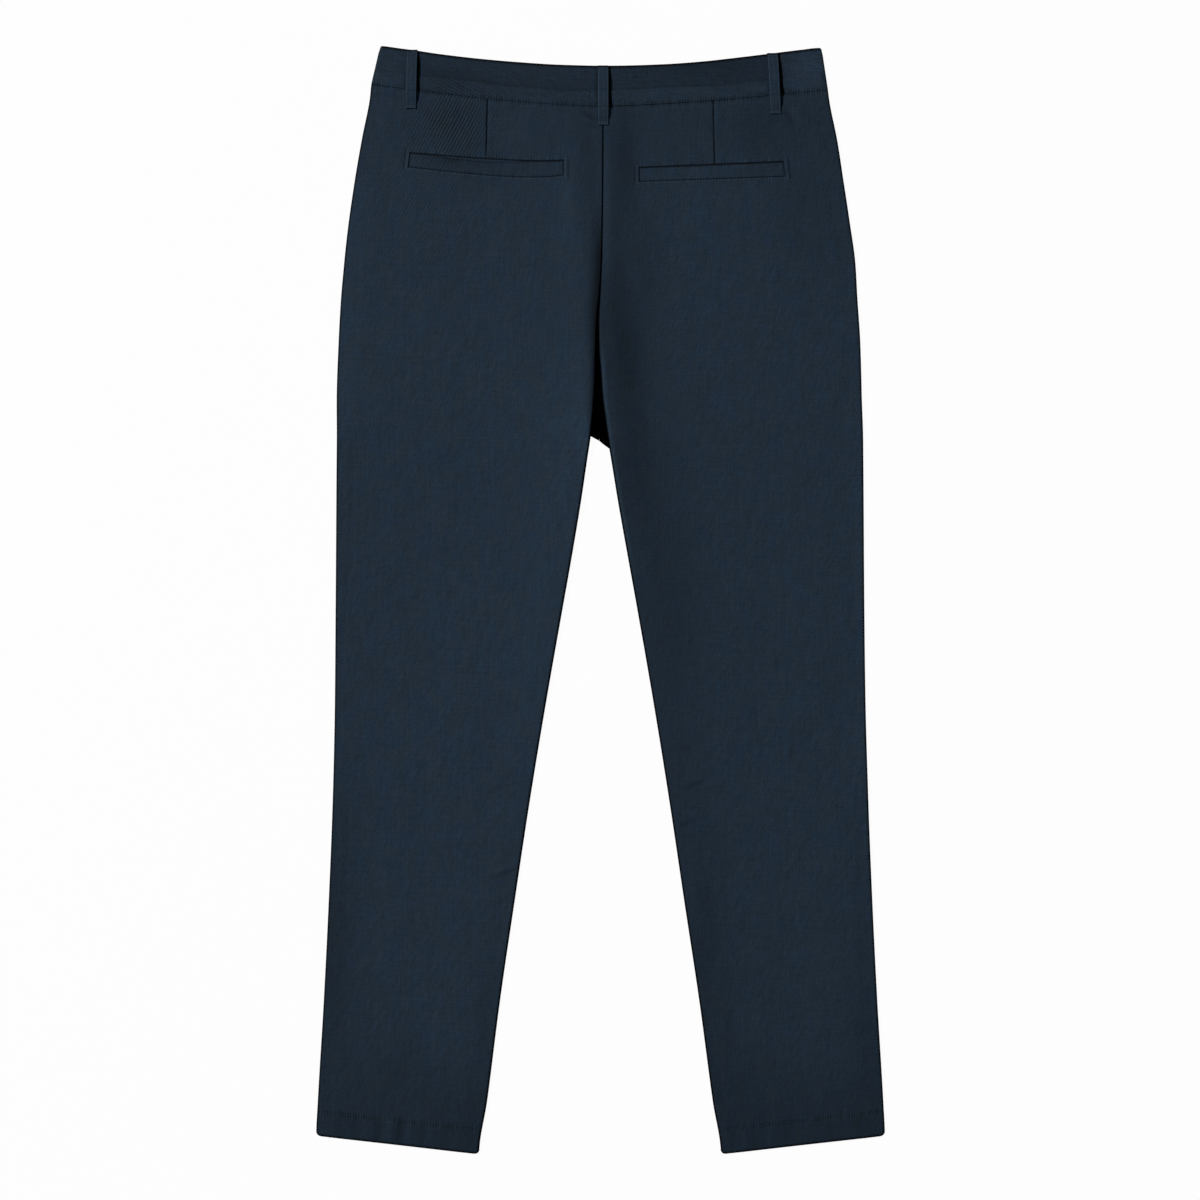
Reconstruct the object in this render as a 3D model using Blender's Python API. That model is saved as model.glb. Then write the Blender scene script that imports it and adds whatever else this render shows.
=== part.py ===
"""Chino trousers, laid flat on their front, as the pieces that are cut and sewn.

Metres, +Z up. The waist is at +Y, the hems at -Y, and the back of the garment faces +Z.
The origin is on the surface that the trousers lie on, in the middle of their outline.
A place on one leg is given by u, its distance from the middle line, and y. side is -1 on
the left as seen here and +1 on the right, so x is side * u.
"""

import math
from bisect import bisect_right
from collections import namedtuple

import bmesh
import bpy

# Cloth
WALL = 0.0012            # one thickness of twill
DOUBLE_WALL = 0.0024     # a turned hem, or seam allowances that lie on each other
CORNER_WALL = 0.0003     # where a fold begins at the fork or at a pocket's end
FLAT_HEIGHT = 0.0063     # garment height up to which the wall is single
FORK_HEIGHT = 0.0087     # garment height at which the wall is double
SEAM_GAP = 0.0003        # between pieces that are sewn together or lie on each other
FOLD_WIDTH = 0.0030      # widest round of the fold at a side seam or an inseam
FOLD_LIP = 0.0003        # upright end of a fold, at the seam
FOLD_ANGLES = (0, 30, 60, 90)
SHOULDER_DROP = 0.0008   # how far the cloth sinks from its puffed shoulder to the fold
SHOULDER_WIDTH = 0.018

# Hem
HEM_CORNER = 0.0035      # round of the hem's corners, seen from above
HEM_CORNER_RISE = 0.0024 # the hem's edge is this much higher at its very corner
HEM_FOLD_SHARE = 0.5     # how much of that rise the folds beside the corner follow

# Seat and fork
SEAT_GROOVE = 0.0005     # the centre back seam
SEAT_OPEN_TOP = 0.330    # the two legs start to part here
SEAT_OPEN_FOOT = 0.235
FORK_FLOOR = 0.0030      # top of the cloth at the foot of the cleft between the legs
CLEFT_ROUND = 0.9        # how much of a shallow groove's depth its round edge takes
JOINED_FOOT = 0.1420     # the panels of the two legs meet in the middle above here

# Back darts and welt pockets
DART_DEPTH = 0.0006
DART_FLANK = 0.0016
DART_TIP = 0.3974
WELT_WALL = 0.0012
WELT_RECESS = 0.0007
WELT_EASE = 0.0004       # between the welt and the edge of its recess

# Waist
BAND_WALL = 0.0013
BAND_EASE = 0.0005       # between the band and the panels, along the waist seam
BAND_UNDER = 0.0015      # height of the band's front face, which rests on loops and button
BAND_OVER = 0.0063       # height of the band's back face at the sides
BAND_SWELL = 0.0012      # what the lapped ends under it add in the middle
BAND_SWELL_START = 0.018
BAND_SWELL_END = 0.096
BAND_RIDGE = 0.0004      # the seam allowances inside the band's lower part
BAND_TOP_MIDDLE = 0.4847
BAND_TOP_RISE = 0.0162
BAND_TOP_REACH = 0.1995
BAND_TOP_POWER = 1.7
FRONT_DIP = 0.009        # how far the waist runs lower at the front
LAP_END = 0.018          # x of the upper lap's end
LAP_LIFT = 0.0006        # the button under the lap lifts it
LAP_LIFT_START = 0.024
LAP_LIFT_END = 0.050
UNDERLAP_START = 0.045   # x where the lower lap begins to rise over the upper one
UNDERLAP_END = -0.028    # x of the lower lap's end
WAIST_LIFT_FADE = 0.027  # length of the slope up which the front panels rise to the band
FLY_LIFT = 0.006         # the slope ends this far below the waist seam beside the fly
FLY_LIFT_U = 0.030
LOOP_LIFT = 0.027        # and this far from the front loops outwards
LOOP_LIFT_U = 0.070
FRONT_DIP_START = 0.330

# Belt loops
LOOP_WIDTH = 0.0098
LOOP_WALL = 0.0014
LOOP_STANDOFF = 0.0027
LOOP_BELOW_SEAM = 0.0155
FRONT_LOOP_WALL = 0.0012
FRONT_LOOP_U = 0.098

# Fly and side pockets
FLY_STEP_TOP = 0.325     # the front edges lap off the middle above here
FLY_STEP_FOOT = 0.305
FLY_OFFSET = 0.006
SLANT_TOP_U = 0.150
SLANT_TOP_Y = 0.460
SLANT_END_Y = 0.3066
ZIP_FOOT = 0.310
ZIP_TOP = 0.425
ZIP_HALF_WIDTH = 0.011
ZIP_TAPE = 0.0006
ZIP_CHAIN_HALF_WIDTH = 0.0022
ZIP_CHAIN = 0.0003
ZIP_REST = 0.010         # length at the zip's foot that lies on the front panels
ZIP_CLEAR = 0.004        # the tape is at its full height this far below the pull tab
ZIP_STEPS = 12
SLIDER_PLATE = 0.0009
SLIDER_LENGTH = 0.011
SLIDER_WIDTH = 0.008
SLIDER_TOP = 0.421
PULL_LENGTH = 0.020
PULL_WIDTH = 0.005
PULL_FOOT = SLIDER_TOP - SLIDER_LENGTH - PULL_LENGTH
BUTTON_RADIUS = 0.0085
BUTTON_HEIGHT = 0.0018
BUTTON_RIM = 0.0016
BUTTON_BEVEL = 0.0006
BUTTON_DISH = 0.0005
BUTTON_SIDES = 32

LEFT, RIGHT = -1, 1

# The outline of the garment: the side seams, and how far both lean to +X together.
SideSeam = namedtuple("SideSeam", "y half_width lean")
SIDE_SEAM = (
    SideSeam(0.5013, 0.1995, 0.0003),
    SideSeam(0.4898, 0.2008, -0.0009),
    SideSeam(0.4716, 0.2055, -0.0012),
    SideSeam(0.4535, 0.2077, -0.0010),
    SideSeam(0.4172, 0.2150, -0.0010),
    SideSeam(0.3810, 0.2209, -0.0013),
    SideSeam(0.3447, 0.2263, -0.0012),
    SideSeam(0.3084, 0.2309, -0.0007),
    SideSeam(0.2721, 0.2336, -0.0012),
    SideSeam(0.2358, 0.2358, -0.0010),
    SideSeam(0.1905, 0.2373, -0.0012),
    SideSeam(0.1451, 0.2380, -0.0005),
    SideSeam(0.0000, 0.2390, -0.0005),
    SideSeam(-0.0907, 0.2399, -0.0003),
    SideSeam(-0.1814, 0.2422, 0.0),
    SideSeam(-0.2721, 0.2458, 0.0),
    SideSeam(-0.3628, 0.2503, 0.0),
    SideSeam(-0.4535, 0.2557, 0.0),
    SideSeam(-0.4845, 0.2571, 0.0),
)

# Half the gap between the legs.
Inseam = namedtuple("Inseam", "y half_gap")
INSEAM = (
    Inseam(0.2450, 0.0003),
    Inseam(0.2358, 0.0012),
    Inseam(0.1995, 0.0040),
    Inseam(0.1542, 0.0076),
    Inseam(0.1270, 0.0114),
    Inseam(0.0907, 0.0172),
    Inseam(0.0363, 0.0268),
    Inseam(0.0000, 0.0332),
    Inseam(-0.0907, 0.0490),
    Inseam(-0.1814, 0.0640),
    Inseam(-0.2721, 0.0776),
    Inseam(-0.3628, 0.0912),
    Inseam(-0.4535, 0.1034),
    Inseam(-0.5013, 0.1112),
)

# The centre back seam, which carries on as the middle of the gap between the legs.
Centre = namedtuple("Centre", "y x")
CENTRE = (
    Centre(0.4850, 0.0036),
    Centre(0.4300, 0.0036),
    Centre(0.3170, 0.0023),
    Centre(0.2720, 0.0005),
    Centre(0.2360, -0.0014),
    Centre(0.1500, -0.0008),
    Centre(0.0000, -0.0005),
    Centre(-0.2700, -0.0012),
    Centre(-0.5013, -0.0005),
)

# The line of the back dart, which carries on as the middle line of the leg.
Crease = namedtuple("Crease", "y u")
CREASE = (
    Crease(0.4670, 0.1022),
    Crease(0.3974, 0.1037),
    Crease(0.2500, 0.1120),
    Crease(0.1450, 0.1220),
    Crease(0.0000, 0.1360),
    Crease(-0.1800, 0.1530),
    Crease(-0.3600, 0.1700),
    Crease(-0.5013, 0.1840),
)

# Height of the garment's back face along the inner edge, the middle and the side of a leg.
Height = namedtuple("Height", "y inner middle outer")
HEIGHTS = (
    Height(0.4700, 0.0070, 0.0060, 0.0060),
    Height(0.4300, 0.0070, 0.0059, 0.0060),
    Height(0.4000, 0.0066, 0.0058, 0.0060),
    Height(0.3300, 0.0063, 0.0054, 0.0059),
    Height(0.2900, 0.0068, 0.0052, 0.0058),
    Height(0.2500, 0.0077, 0.0050, 0.0057),
    Height(0.2000, 0.0086, 0.0048, 0.0057),
    Height(0.1450, 0.0087, 0.0047, 0.0057),
    Height(0.0900, 0.0082, 0.0047, 0.0057),
    Height(0.0000, 0.0073, 0.0047, 0.0057),
    Height(-0.0900, 0.0066, 0.0047, 0.0057),
    Height(-0.1800, 0.0061, 0.0047, 0.0057),
    Height(-0.3000, 0.0059, 0.0047, 0.0057),
    Height(-0.4200, 0.0059, 0.0050, 0.0058),
    Height(-0.4750, 0.0062, 0.0056, 0.0061),
    Height(-0.5020, 0.0062, 0.0056, 0.0061),
)

# The section lines across each leg. y is at the inner edge, and rise is how much higher the
# line is at the side seam. drop lowers the right leg's line just beside the middle. fork
# raises the left leg's inner end and lowers the right's. steps leads on to the next row.
Level = namedtuple("Level", "place y rise_left rise_right power drop fork steps")
LEVELS = (
    Level("waist seam", 0.4490, 0.0188, 0.0141, 1.4, 0.0, 0.0, 2),
    Level("pocket top", 0.3974, 0.0099, 0.0087, 1.0, 0.0057, 0.0, 1),
    Level("pocket mouth", 0.3966, 0.0099, 0.0087, 1.0, 0.0057, 0.0, 1),
    Level("welt foot", 0.3832, 0.0098, 0.0087, 1.0, 0.0057, 0.0, 1),
    Level("pocket foot", 0.3824, 0.0098, 0.0087, 1.0, 0.0057, 0.0, 2),
    Level("above side pocket end", 0.3070, 0.0, 0.0, 1.0, 0.0, 0.0, 1),
    Level("side pocket end", 0.3060, 0.0, 0.0, 1.0, 0.0, 0.0, 1),
    Level("below side pocket", 0.3030, 0.0, 0.0, 1.0, 0.0, 0.0, 1),
    Level("seat", 0.2850, 0.0, 0.0, 1.0, 0.0, 0.0, 2),
    Level("cleft top", 0.2450, 0.0, 0.0, 1.0, 0.0, 0.0, 2),
    Level("cleft middle", 0.1950, 0.0, 0.0, 1.0, 0.0, 0.0005, 1),
    Level("cleft foot", 0.1700, 0.0, 0.0, 1.0, 0.0, 0.0025, 1),
    Level("fork", 0.1443, 0.0, 0.0, 1.0, 0.0, 0.0063, 1),
    Level("inseam top", 0.1395, 0.0, 0.0, 1.0, 0.0, 0.0063, 1),
    Level("below fork", 0.1370, 0.0, 0.0, 1.0, 0.0, 0.0060, 1),
    Level("upper thigh", 0.1180, 0.0, 0.0, 1.0, 0.0, 0.0030, 1),
    Level("thigh", 0.0900, 0.0, 0.0, 1.0, 0.0, 0.0, 13),
    Level("above hem stitch", -0.4783, 0.0160, 0.0160, 1.0, 0.0, 0.0, 1),
    Level("hem stitch", -0.4795, 0.0160, 0.0160, 1.0, 0.0, 0.0, 1),
    Level("above hem edge", -0.4978, 0.0168, 0.0168, 1.0, 0.0, 0.0, 1),
    Level("hem edge", -0.5013, 0.0168, 0.0168, 1.0, 0.0, 0.0, 0),
)
DROP_REACH = 0.030

# The two ends of each welt pocket, as shares of the half leg that they lie in.
Welt = namedtuple("Welt", "inner_share outer_share")
WELTS = {LEFT: Welt(0.305, 0.626), RIGHT: Welt(0.326, 0.580)}

# The back belt loops: x at the top edge of the waistband, and at the loop's foot.
Loop = namedtuple("Loop", "name top_x foot_x")
LOOPS = (
    Loop("loop_back_left", -0.1705, -0.1705),
    Loop("loop_back_centre", 0.0036, 0.0038),
    Loop("loop_back_right", 0.1565, 0.1596),
)

# One belt loop from its top end down: share of its length, and share of its standoff.
Station = namedtuple("Station", "along standoff")
LOOP_STATIONS = (
    Station(0.00, 0.0),
    Station(0.07, 0.0),
    Station(0.16, 0.75),
    Station(0.30, 1.0),
    Station(0.55, 1.0),
    Station(0.72, 0.9),
    Station(0.83, 0.5),
    Station(0.90, 0.0),
    Station(1.00, 0.0),
)


# ---------------------------------------------------------------------------- reading sizes

def clamp(share):
    return min(1.0, max(0.0, share))


def mix(a, b, share):
    return a + (b - a) * share


def ramp(value, start, end):
    """0 at start, 1 at end, and a soft curve between them."""
    share = clamp((value - start) / (end - start))
    return share * share * (3.0 - 2.0 * share)


def slope_at(rows, index, column):
    """Slope of a column at a row, none at a turning point, so that the curve never overshoots."""
    if index == 0 or index == len(rows) - 1:
        return 0.0
    below, here, above = rows[index - 1], rows[index], rows[index + 1]
    left = (here[column] - below[column]) / (here[0] - below[0])
    right = (above[column] - here[column]) / (above[0] - here[0])
    if left * right <= 0.0:
        return 0.0
    return 2.0 * left * right / (left + right)


def read(table, y, name):
    """A column of a table at height y, on a smooth curve through its rows."""
    rows = sorted(table)
    column = rows[0]._fields.index(name)
    if y <= rows[0][0]:
        return rows[0][column]
    if y >= rows[-1][0]:
        return rows[-1][column]
    index = bisect_right([row[0] for row in rows], y) - 1
    low, high = rows[index], rows[index + 1]
    span = high[0] - low[0]
    t = (y - low[0]) / span
    return (
        low[column] * (1 + 2 * t) * (1 - t) ** 2
        + high[column] * t * t * (3 - 2 * t)
        + slope_at(rows, index, column) * span * t * (1 - t) ** 2
        + slope_at(rows, index + 1, column) * span * t * t * (t - 1)
    )


def side_u(side, y):
    return read(SIDE_SEAM, y, "half_width") + side * read(SIDE_SEAM, y, "lean")


def middle_u(side, y):
    """The centre back seam, or the middle of the gap, seen from one leg."""
    return side * read(CENTRE, y, "x")


def inner_u(side, y):
    """The inner edge of a leg. Above the gap it is the edge of the seat seam's groove."""
    return middle_u(side, y) + SEAM_GAP / 2 + read(INSEAM, y, "half_gap")


def crease_u(y):
    return read(CREASE, y, "u")


def openness(y):
    """0 where the legs are joined in the seat, 1 where they have parted."""
    return ramp(y, SEAT_OPEN_TOP, SEAT_OPEN_FOOT)


# ------------------------------------------------------------------- the form of the garment

def back_height(side, u, y):
    """Height of the back's outer face, before its seams, darts and pockets."""
    inner, crease, outer = inner_u(side, y), crease_u(y), side_u(side, y)
    middle = read(HEIGHTS, y, "middle")
    if u < crease:
        height = mix(read(HEIGHTS, y, "inner"), middle, ramp(u, inner, crease))
    else:
        height = mix(middle, read(HEIGHTS, y, "outer"), ramp(u, crease, outer))
    at_side = 1.0 - ramp(outer - FOLD_WIDTH - u, 0.0, SHOULDER_WIDTH)
    at_inner = openness(y) * (1.0 - ramp(u - FOLD_WIDTH - inner, 0.0, SHOULDER_WIDTH))
    return height - SHOULDER_DROP * (at_side + at_inner)


def wall_at(height):
    """Thickness of one wall where the garment has this height."""
    return mix(WALL, DOUBLE_WALL, clamp((height - FLAT_HEIGHT) / (FORK_HEIGHT - FLAT_HEIGHT)))


def front_lift(side, u, y):
    """How far the front's outer face is off the floor: it rises to the waistband."""
    seam = waist_y(side, u) - front_dip(side, u)
    reach = mix(FLY_LIFT, LOOP_LIFT, ramp(u, FLY_LIFT_U, LOOP_LIFT_U))
    return BAND_UNDER * ramp(seam - y, reach + WAIST_LIFT_FADE, reach)


def fold_seam(side, crest_u, y):
    """Height of the seam on the fold at an edge, halfway between the back and the front."""
    return (back_height(side, crest_u, y) + front_lift(side, crest_u, y)) / 2.0


def level_y(level, side, u, inner, outer):
    """Where a section line is at a distance u from the middle."""
    rise = level.rise_left if side == LEFT else level.rise_right
    drop = level.drop if side == RIGHT else 0.0
    share = clamp((u - inner) / (outer - inner))
    fork = side * level.fork * ramp(u, 0.0, max(inner, FOLD_WIDTH))
    return level.y + rise * share ** level.power - drop * ramp(u, 0.0, DROP_REACH) - fork


def waist_y(side, u):
    """The waist seam of the back."""
    outer = read(SIDE_SEAM, LEVELS[0].y + LEVELS[0].rise_left, "half_width")
    return level_y(LEVELS[0], side, abs(u), 0.0, outer)


def front_dip(side, u):
    """How far the front's waist is below the back's."""
    share = clamp(abs(u) / read(SIDE_SEAM, LEVELS[0].y + LEVELS[0].rise_left, "half_width"))
    return FRONT_DIP * (1.0 - share * share)


def band_top_y(x):
    return BAND_TOP_MIDDLE + BAND_TOP_RISE * (abs(x) / BAND_TOP_REACH) ** BAND_TOP_POWER


def band_height(x):
    """Height of the waistband's back face."""
    return BAND_OVER + BAND_SWELL * (1.0 - ramp(abs(x), BAND_SWELL_START, BAND_SWELL_END))


def all_levels():
    """Every section line, with the steps between the named ones filled in."""
    levels = []
    for level, following in zip(LEVELS, LEVELS[1:]):
        for step in range(level.steps):
            share = step / level.steps
            values = [mix(a, b, share) for a, b in zip(level[1:-1], following[1:-1])]
            levels.append(Level(level.place, *values, 1))
    levels.append(LEVELS[-1])
    return levels


def hem_corner(level, to_edge):
    """How much higher the hem's edge is near its corners."""
    if level.place != "hem edge":
        return 0.0
    return HEM_CORNER_RISE * (1.0 - clamp(to_edge / HEM_CORNER)) ** 2


def in_hem(level):
    return level.place in ("hem stitch", "above hem edge", "hem edge")


def in_recess(level, share, ends):
    return level.place in ("pocket mouth", "welt foot") and ends[0] < share < ends[1]


# ------------------------------------------------------------------------ making the objects

def material(name, colour, roughness, metallic=0.0):
    made = bpy.data.materials.new(name)
    made.use_nodes = True
    shader = made.node_tree.nodes["Principled BSDF"]
    shader.inputs["Base Color"].default_value = (*colour, 1.0)
    shader.inputs["Roughness"].default_value = roughness
    shader.inputs["Metallic"].default_value = metallic
    return made


def put(name, mesh, finish, parent):
    """One named object in the scene, with its material."""
    piece = bpy.data.objects.new(name, mesh)
    bpy.context.scene.collection.objects.link(piece)
    mesh.materials.append(finish)
    piece.parent = parent
    return piece


def cloth(name, grid, finish, parent, wall=DOUBLE_WALL):
    """A wall of cloth: a sheet through rows of outer points (x, y, z, thickness), made thick
    inwards. The rows and their points turn so that the outer face is on the left of both."""
    mesh = bpy.data.meshes.new(name)
    bm = bmesh.new()
    weight = bm.verts.layers.deform.verify()
    rows = []
    for points in grid:
        row = []
        for x, y, z, thickness in points:
            vertex = bm.verts.new((x, y, z))
            vertex[weight][0] = thickness / wall
            row.append(vertex)
        rows.append(row)
    for upper, lower in zip(rows, rows[1:]):
        for i in range(len(upper) - 1):
            bm.faces.new((upper[i], lower[i], lower[i + 1], upper[i + 1]))
    bm.to_mesh(mesh)
    bm.free()
    piece = put(name, mesh, finish, parent)
    piece.vertex_groups.new(name="wall")
    thicken = piece.modifiers.new("wall", "SOLIDIFY")
    thicken.thickness = wall
    thicken.offset = -1.0
    thicken.use_even_offset = False
    thicken.vertex_group = "wall"
    return piece


def facing(grid, side, up):
    """Rows turned so that cloth() finds the outer face: up for the back, down for the front."""
    if (side == RIGHT) == up:
        return grid
    return [list(reversed(points)) for points in grid]


# -------------------------------------------------------------------------------- back panels

BACK_INNER_SHARES = (0.14, "pocket", 0.55, 0.80, "flank", 1.0)
BACK_OUTER_SHARES = ("flank", 0.30, "pocket", 0.82)


def leg_shares(shares, half_width, pocket, flank):
    """The columns of half a leg, each with its share of the width from the inner crest or the
    crease outwards. A pocket's end takes two columns, and the dart's flanks stand beside it."""
    found = []
    for share in shares:
        if share == "pocket":
            found.append(pocket - WELT_EASE / half_width)
            found.append(pocket + WELT_EASE / half_width)
        elif share == "flank":
            found.append(flank)
        else:
            found.append(share)
    return found


def back_inner_profile(side, level, inner, y, crest_height):
    """The inner edge of a back panel, from the seam outwards. In the seat it is the groove of
    the centre back seam, then the cleft between the legs, and under the fork the inseam."""
    joined = level.y > JOINED_FOOT
    middle = middle_u(side, level.y) + SEAM_GAP / 2
    if joined:
        floor = mix(crest_height - SEAT_GROOVE, FORK_FLOOR, openness(level.y))
        ends = [(middle, level.y, floor), (inner, y, floor)]
        drop = crest_height - floor
        round_drop = min(drop * CLEFT_ROUND, crest_height / 2)
    else:
        seam = fold_seam(side, inner + FOLD_WIDTH, y) + SEAM_GAP / 2
        if level.place == "inseam top":
            seam += SEAM_GAP
        ends = [(inner, y, seam), (inner, y, seam + FOLD_LIP / 2)]
        round_drop = crest_height - seam - FOLD_LIP
    starts_here = level.place in ("fork", "inseam top")
    points = [(u, py, z, CORNER_WALL if starts_here else WALL) for u, py, z in ends]
    if level.place == "fork":
        points[1] = (*points[1][:3], WALL)
    for angle in reversed(FOLD_ANGLES[1:]):
        turn = math.radians(angle)
        u = inner + FOLD_WIDTH * (1.0 - math.sin(turn))
        z = crest_height - round_drop * (1.0 - math.cos(turn))
        points.append((u, y, z, WALL))
    return points


def back_outer_profile(outer, y, crest_height, lift):
    """The fold at the side seam, from its crest down to the seam."""
    seam = (crest_height + lift) / 2.0 + SEAM_GAP / 2
    drop = crest_height - seam - FOLD_LIP
    width = min(FOLD_WIDTH, drop)
    points = []
    for angle in FOLD_ANGLES[1:]:
        turn = math.radians(angle)
        u = outer - width * (1.0 - math.sin(turn))
        points.append((u, y, crest_height - drop * (1.0 - math.cos(turn)), WALL))
    points.append((outer, y, seam, WALL))
    return points


def back_row(side, level):
    """One section across a back panel, as points (u, y, z, thickness)."""
    welt = WELTS[side]
    inner_y = level.y - side * level.fork
    inner = inner_u(side, inner_y)
    outer_y = level_y(level, side, side_u(side, level.y), inner, side_u(side, level.y))
    outer = side_u(side, outer_y)
    crease = crease_u(level.y)
    crest_in = inner + FOLD_WIDTH
    crest_out = outer - FOLD_WIDTH
    inner_half = crease - crest_in
    outer_half = crest_out - crease
    inner_shares = leg_shares(
        BACK_INNER_SHARES, inner_half, welt.inner_share, 1.0 - DART_FLANK / inner_half)
    outer_shares = leg_shares(
        BACK_OUTER_SHARES, outer_half, welt.outer_share, DART_FLANK / outer_half)
    columns = [(crest_in, 0.0)]
    columns += [(crest_in + share * inner_half, share) for share in inner_shares]
    columns += [(crease + share * outer_half, 1.0 + share) for share in outer_shares]
    columns += [(crest_out, 2.0)]
    ends = (welt.inner_share, 1.0 + welt.outer_share)

    body = []
    for u, share in columns:
        y = level_y(level, side, u, inner, outer)
        height = back_height(side, u, y)
        thickness = DOUBLE_WALL if in_hem(level) else wall_at(height)
        if in_recess(level, share, ends):
            height -= WELT_RECESS
        if share == 1.0 and level.y > DART_TIP - WELT_EASE:
            height -= DART_DEPTH
        y += hem_corner(level, min(u - inner, outer - u))
        body.append((u, y, height, thickness))
    first, last = body[0], body[-1]
    lift = front_lift(side, crest_out, last[1])
    corner = hem_corner(level, 0.0)
    inner_edge = back_inner_profile(side, level, inner, first[1], first[2])
    outer_edge = back_outer_profile(outer, last[1], last[2], lift)
    return shape_hem(inner_edge, corner) + body + shape_hem(outer_edge, corner)


def shape_hem(points, corner):
    """The fold's own points at the hem's edge, drawn back to round the corner."""
    return [(u, y + corner * HEM_FOLD_SHARE, z, thickness) for u, y, z, thickness in points]


def back_panel(side, name, finish, parent):
    grid = []
    for level in all_levels():
        row = back_row(side, level)
        grid.append([(side * u, y, z, thickness) for u, y, z, thickness in row])
    return cloth(name, facing(grid, side, up=True), finish, parent)


# ----------------------------------------------------------------- front panels and facings

FRONT_INNER_SHARES = (0.30, 0.65, 1.0)
FRONT_OUTER_SHARES = (0.5,)
FLY_COLUMNS = 4
SLANT_COLUMNS = 4
SLANT_COLUMN = 0.0004    # spacing of the last columns along the pocket's slanted edge


def fly_u(side, y):
    """The front edge at the middle: lapped off it in the fly, on the seam below."""
    lapped = ramp(y, FLY_STEP_FOOT, FLY_STEP_TOP)
    return mix(middle_u(side, y), side * FLY_OFFSET, lapped)


def slant_u(side, y):
    """The slanted edge of the side pocket."""
    end = side_u(side, SLANT_END_Y) - FOLD_WIDTH - SEAM_GAP
    return mix(end, SLANT_TOP_U, (y - SLANT_END_Y) / (SLANT_TOP_Y - SLANT_END_Y))


def front_y(level, side, u, inner, outer):
    """A section line of the front, which dips more than the back's towards the waist."""
    y = level_y(level, side, u, inner, outer)
    return y - front_dip(side, u) * ramp(level.y, FRONT_DIP_START, LEVELS[0].y)


def front_fold(edge, direction, y, seam, lift):
    """The fold at an edge of the front, from its flat part out and up to the seam."""
    drop = seam - SEAM_GAP / 2 - FOLD_LIP - lift
    width = min(FOLD_WIDTH, drop)
    points = []
    for angle in FOLD_ANGLES[1:]:
        turn = math.radians(angle)
        inset = width * (1.0 - math.sin(turn))
        points.append((edge - direction * inset, y, lift + drop * (1.0 - math.cos(turn)), WALL))
    points.append((edge, y, seam - SEAM_GAP / 2, WALL))
    return points


def front_row(side, level):
    """One section across a front panel, as points (u, y, z, thickness)."""
    joined = level.y > JOINED_FOOT
    cut = level.y > SLANT_END_Y
    inner_y = level.y - side * level.fork
    inner = inner_u(side, inner_y)
    outer_y = level_y(level, side, side_u(side, level.y), inner, side_u(side, level.y))
    outer = side_u(side, outer_y)
    crease = crease_u(level.y)
    crest_in = inner + FOLD_WIDTH
    if cut:
        slant_y = front_y(level, side, slant_u(side, level.y), inner, outer)
        crest_out = slant_u(side, slant_y) - SEAM_GAP / 2 - SLANT_COLUMNS * SLANT_COLUMN
    else:
        crest_out = outer - FOLD_WIDTH
    columns = [crest_in]
    columns += [mix(crest_in, crease, share) for share in FRONT_INNER_SHARES]
    columns += [mix(crease, crest_out, share) for share in FRONT_OUTER_SHARES]
    columns += [crest_out]

    body = []
    for u in columns:
        y = front_y(level, side, u, inner, outer)
        thickness = DOUBLE_WALL if in_hem(level) else wall_at(back_height(side, u, y))
        y += hem_corner(level, min(u - inner, outer - u))
        body.append((u, y, front_lift(side, u, y), thickness))

    corner = hem_corner(level, 0.0)
    first_y, last_y = body[0][1], body[-1][1]
    if joined:
        start = fly_u(side, level.y) + SEAM_GAP / 2
        inner_edge = []
        for step in range(FLY_COLUMNS):
            u = mix(start, crest_in, step / FLY_COLUMNS)
            y = front_y(level, side, u, inner, outer)
            inner_edge.append((u, y, front_lift(side, u, y), WALL))
    else:
        seam = fold_seam(side, crest_in, inner_y)
        inner_edge = list(reversed(front_fold(inner, -1, first_y, seam, 0.0)))
    if level.place in ("fork", "inseam top"):
        inner_edge[0] = (*inner_edge[0][:3], CORNER_WALL)
    if level.place == "inseam top":
        inner_edge[1] = (*inner_edge[1][:3], CORNER_WALL)
    if cut:
        outer_edge = []
        for step in range(SLANT_COLUMNS):
            u = crest_out + (step + 1) * SLANT_COLUMN
            outer_edge.append((u, last_y, front_lift(side, u, last_y), WALL))
    else:
        seam = fold_seam(side, crest_out, level_y(level, side, crest_out, inner, outer))
        outer_edge = front_fold(outer, 1, last_y, seam, front_lift(side, crest_out, last_y))
    if level.place in ("above side pocket end", "side pocket end"):
        outer_edge[-1] = (*outer_edge[-1][:3], CORNER_WALL)
    if level.place == "side pocket end":
        outer_edge[-2] = (*outer_edge[-2][:3], CORNER_WALL)
    return shape_hem(inner_edge, corner) + body + shape_hem(outer_edge, corner)


def front_panel(side, name, finish, parent):
    grid = []
    for level in all_levels():
        row = front_row(side, level)
        grid.append([(side * u, y, z, thickness) for u, y, z, thickness in row])
    return cloth(name, facing(grid, side, up=False), finish, parent)


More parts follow.
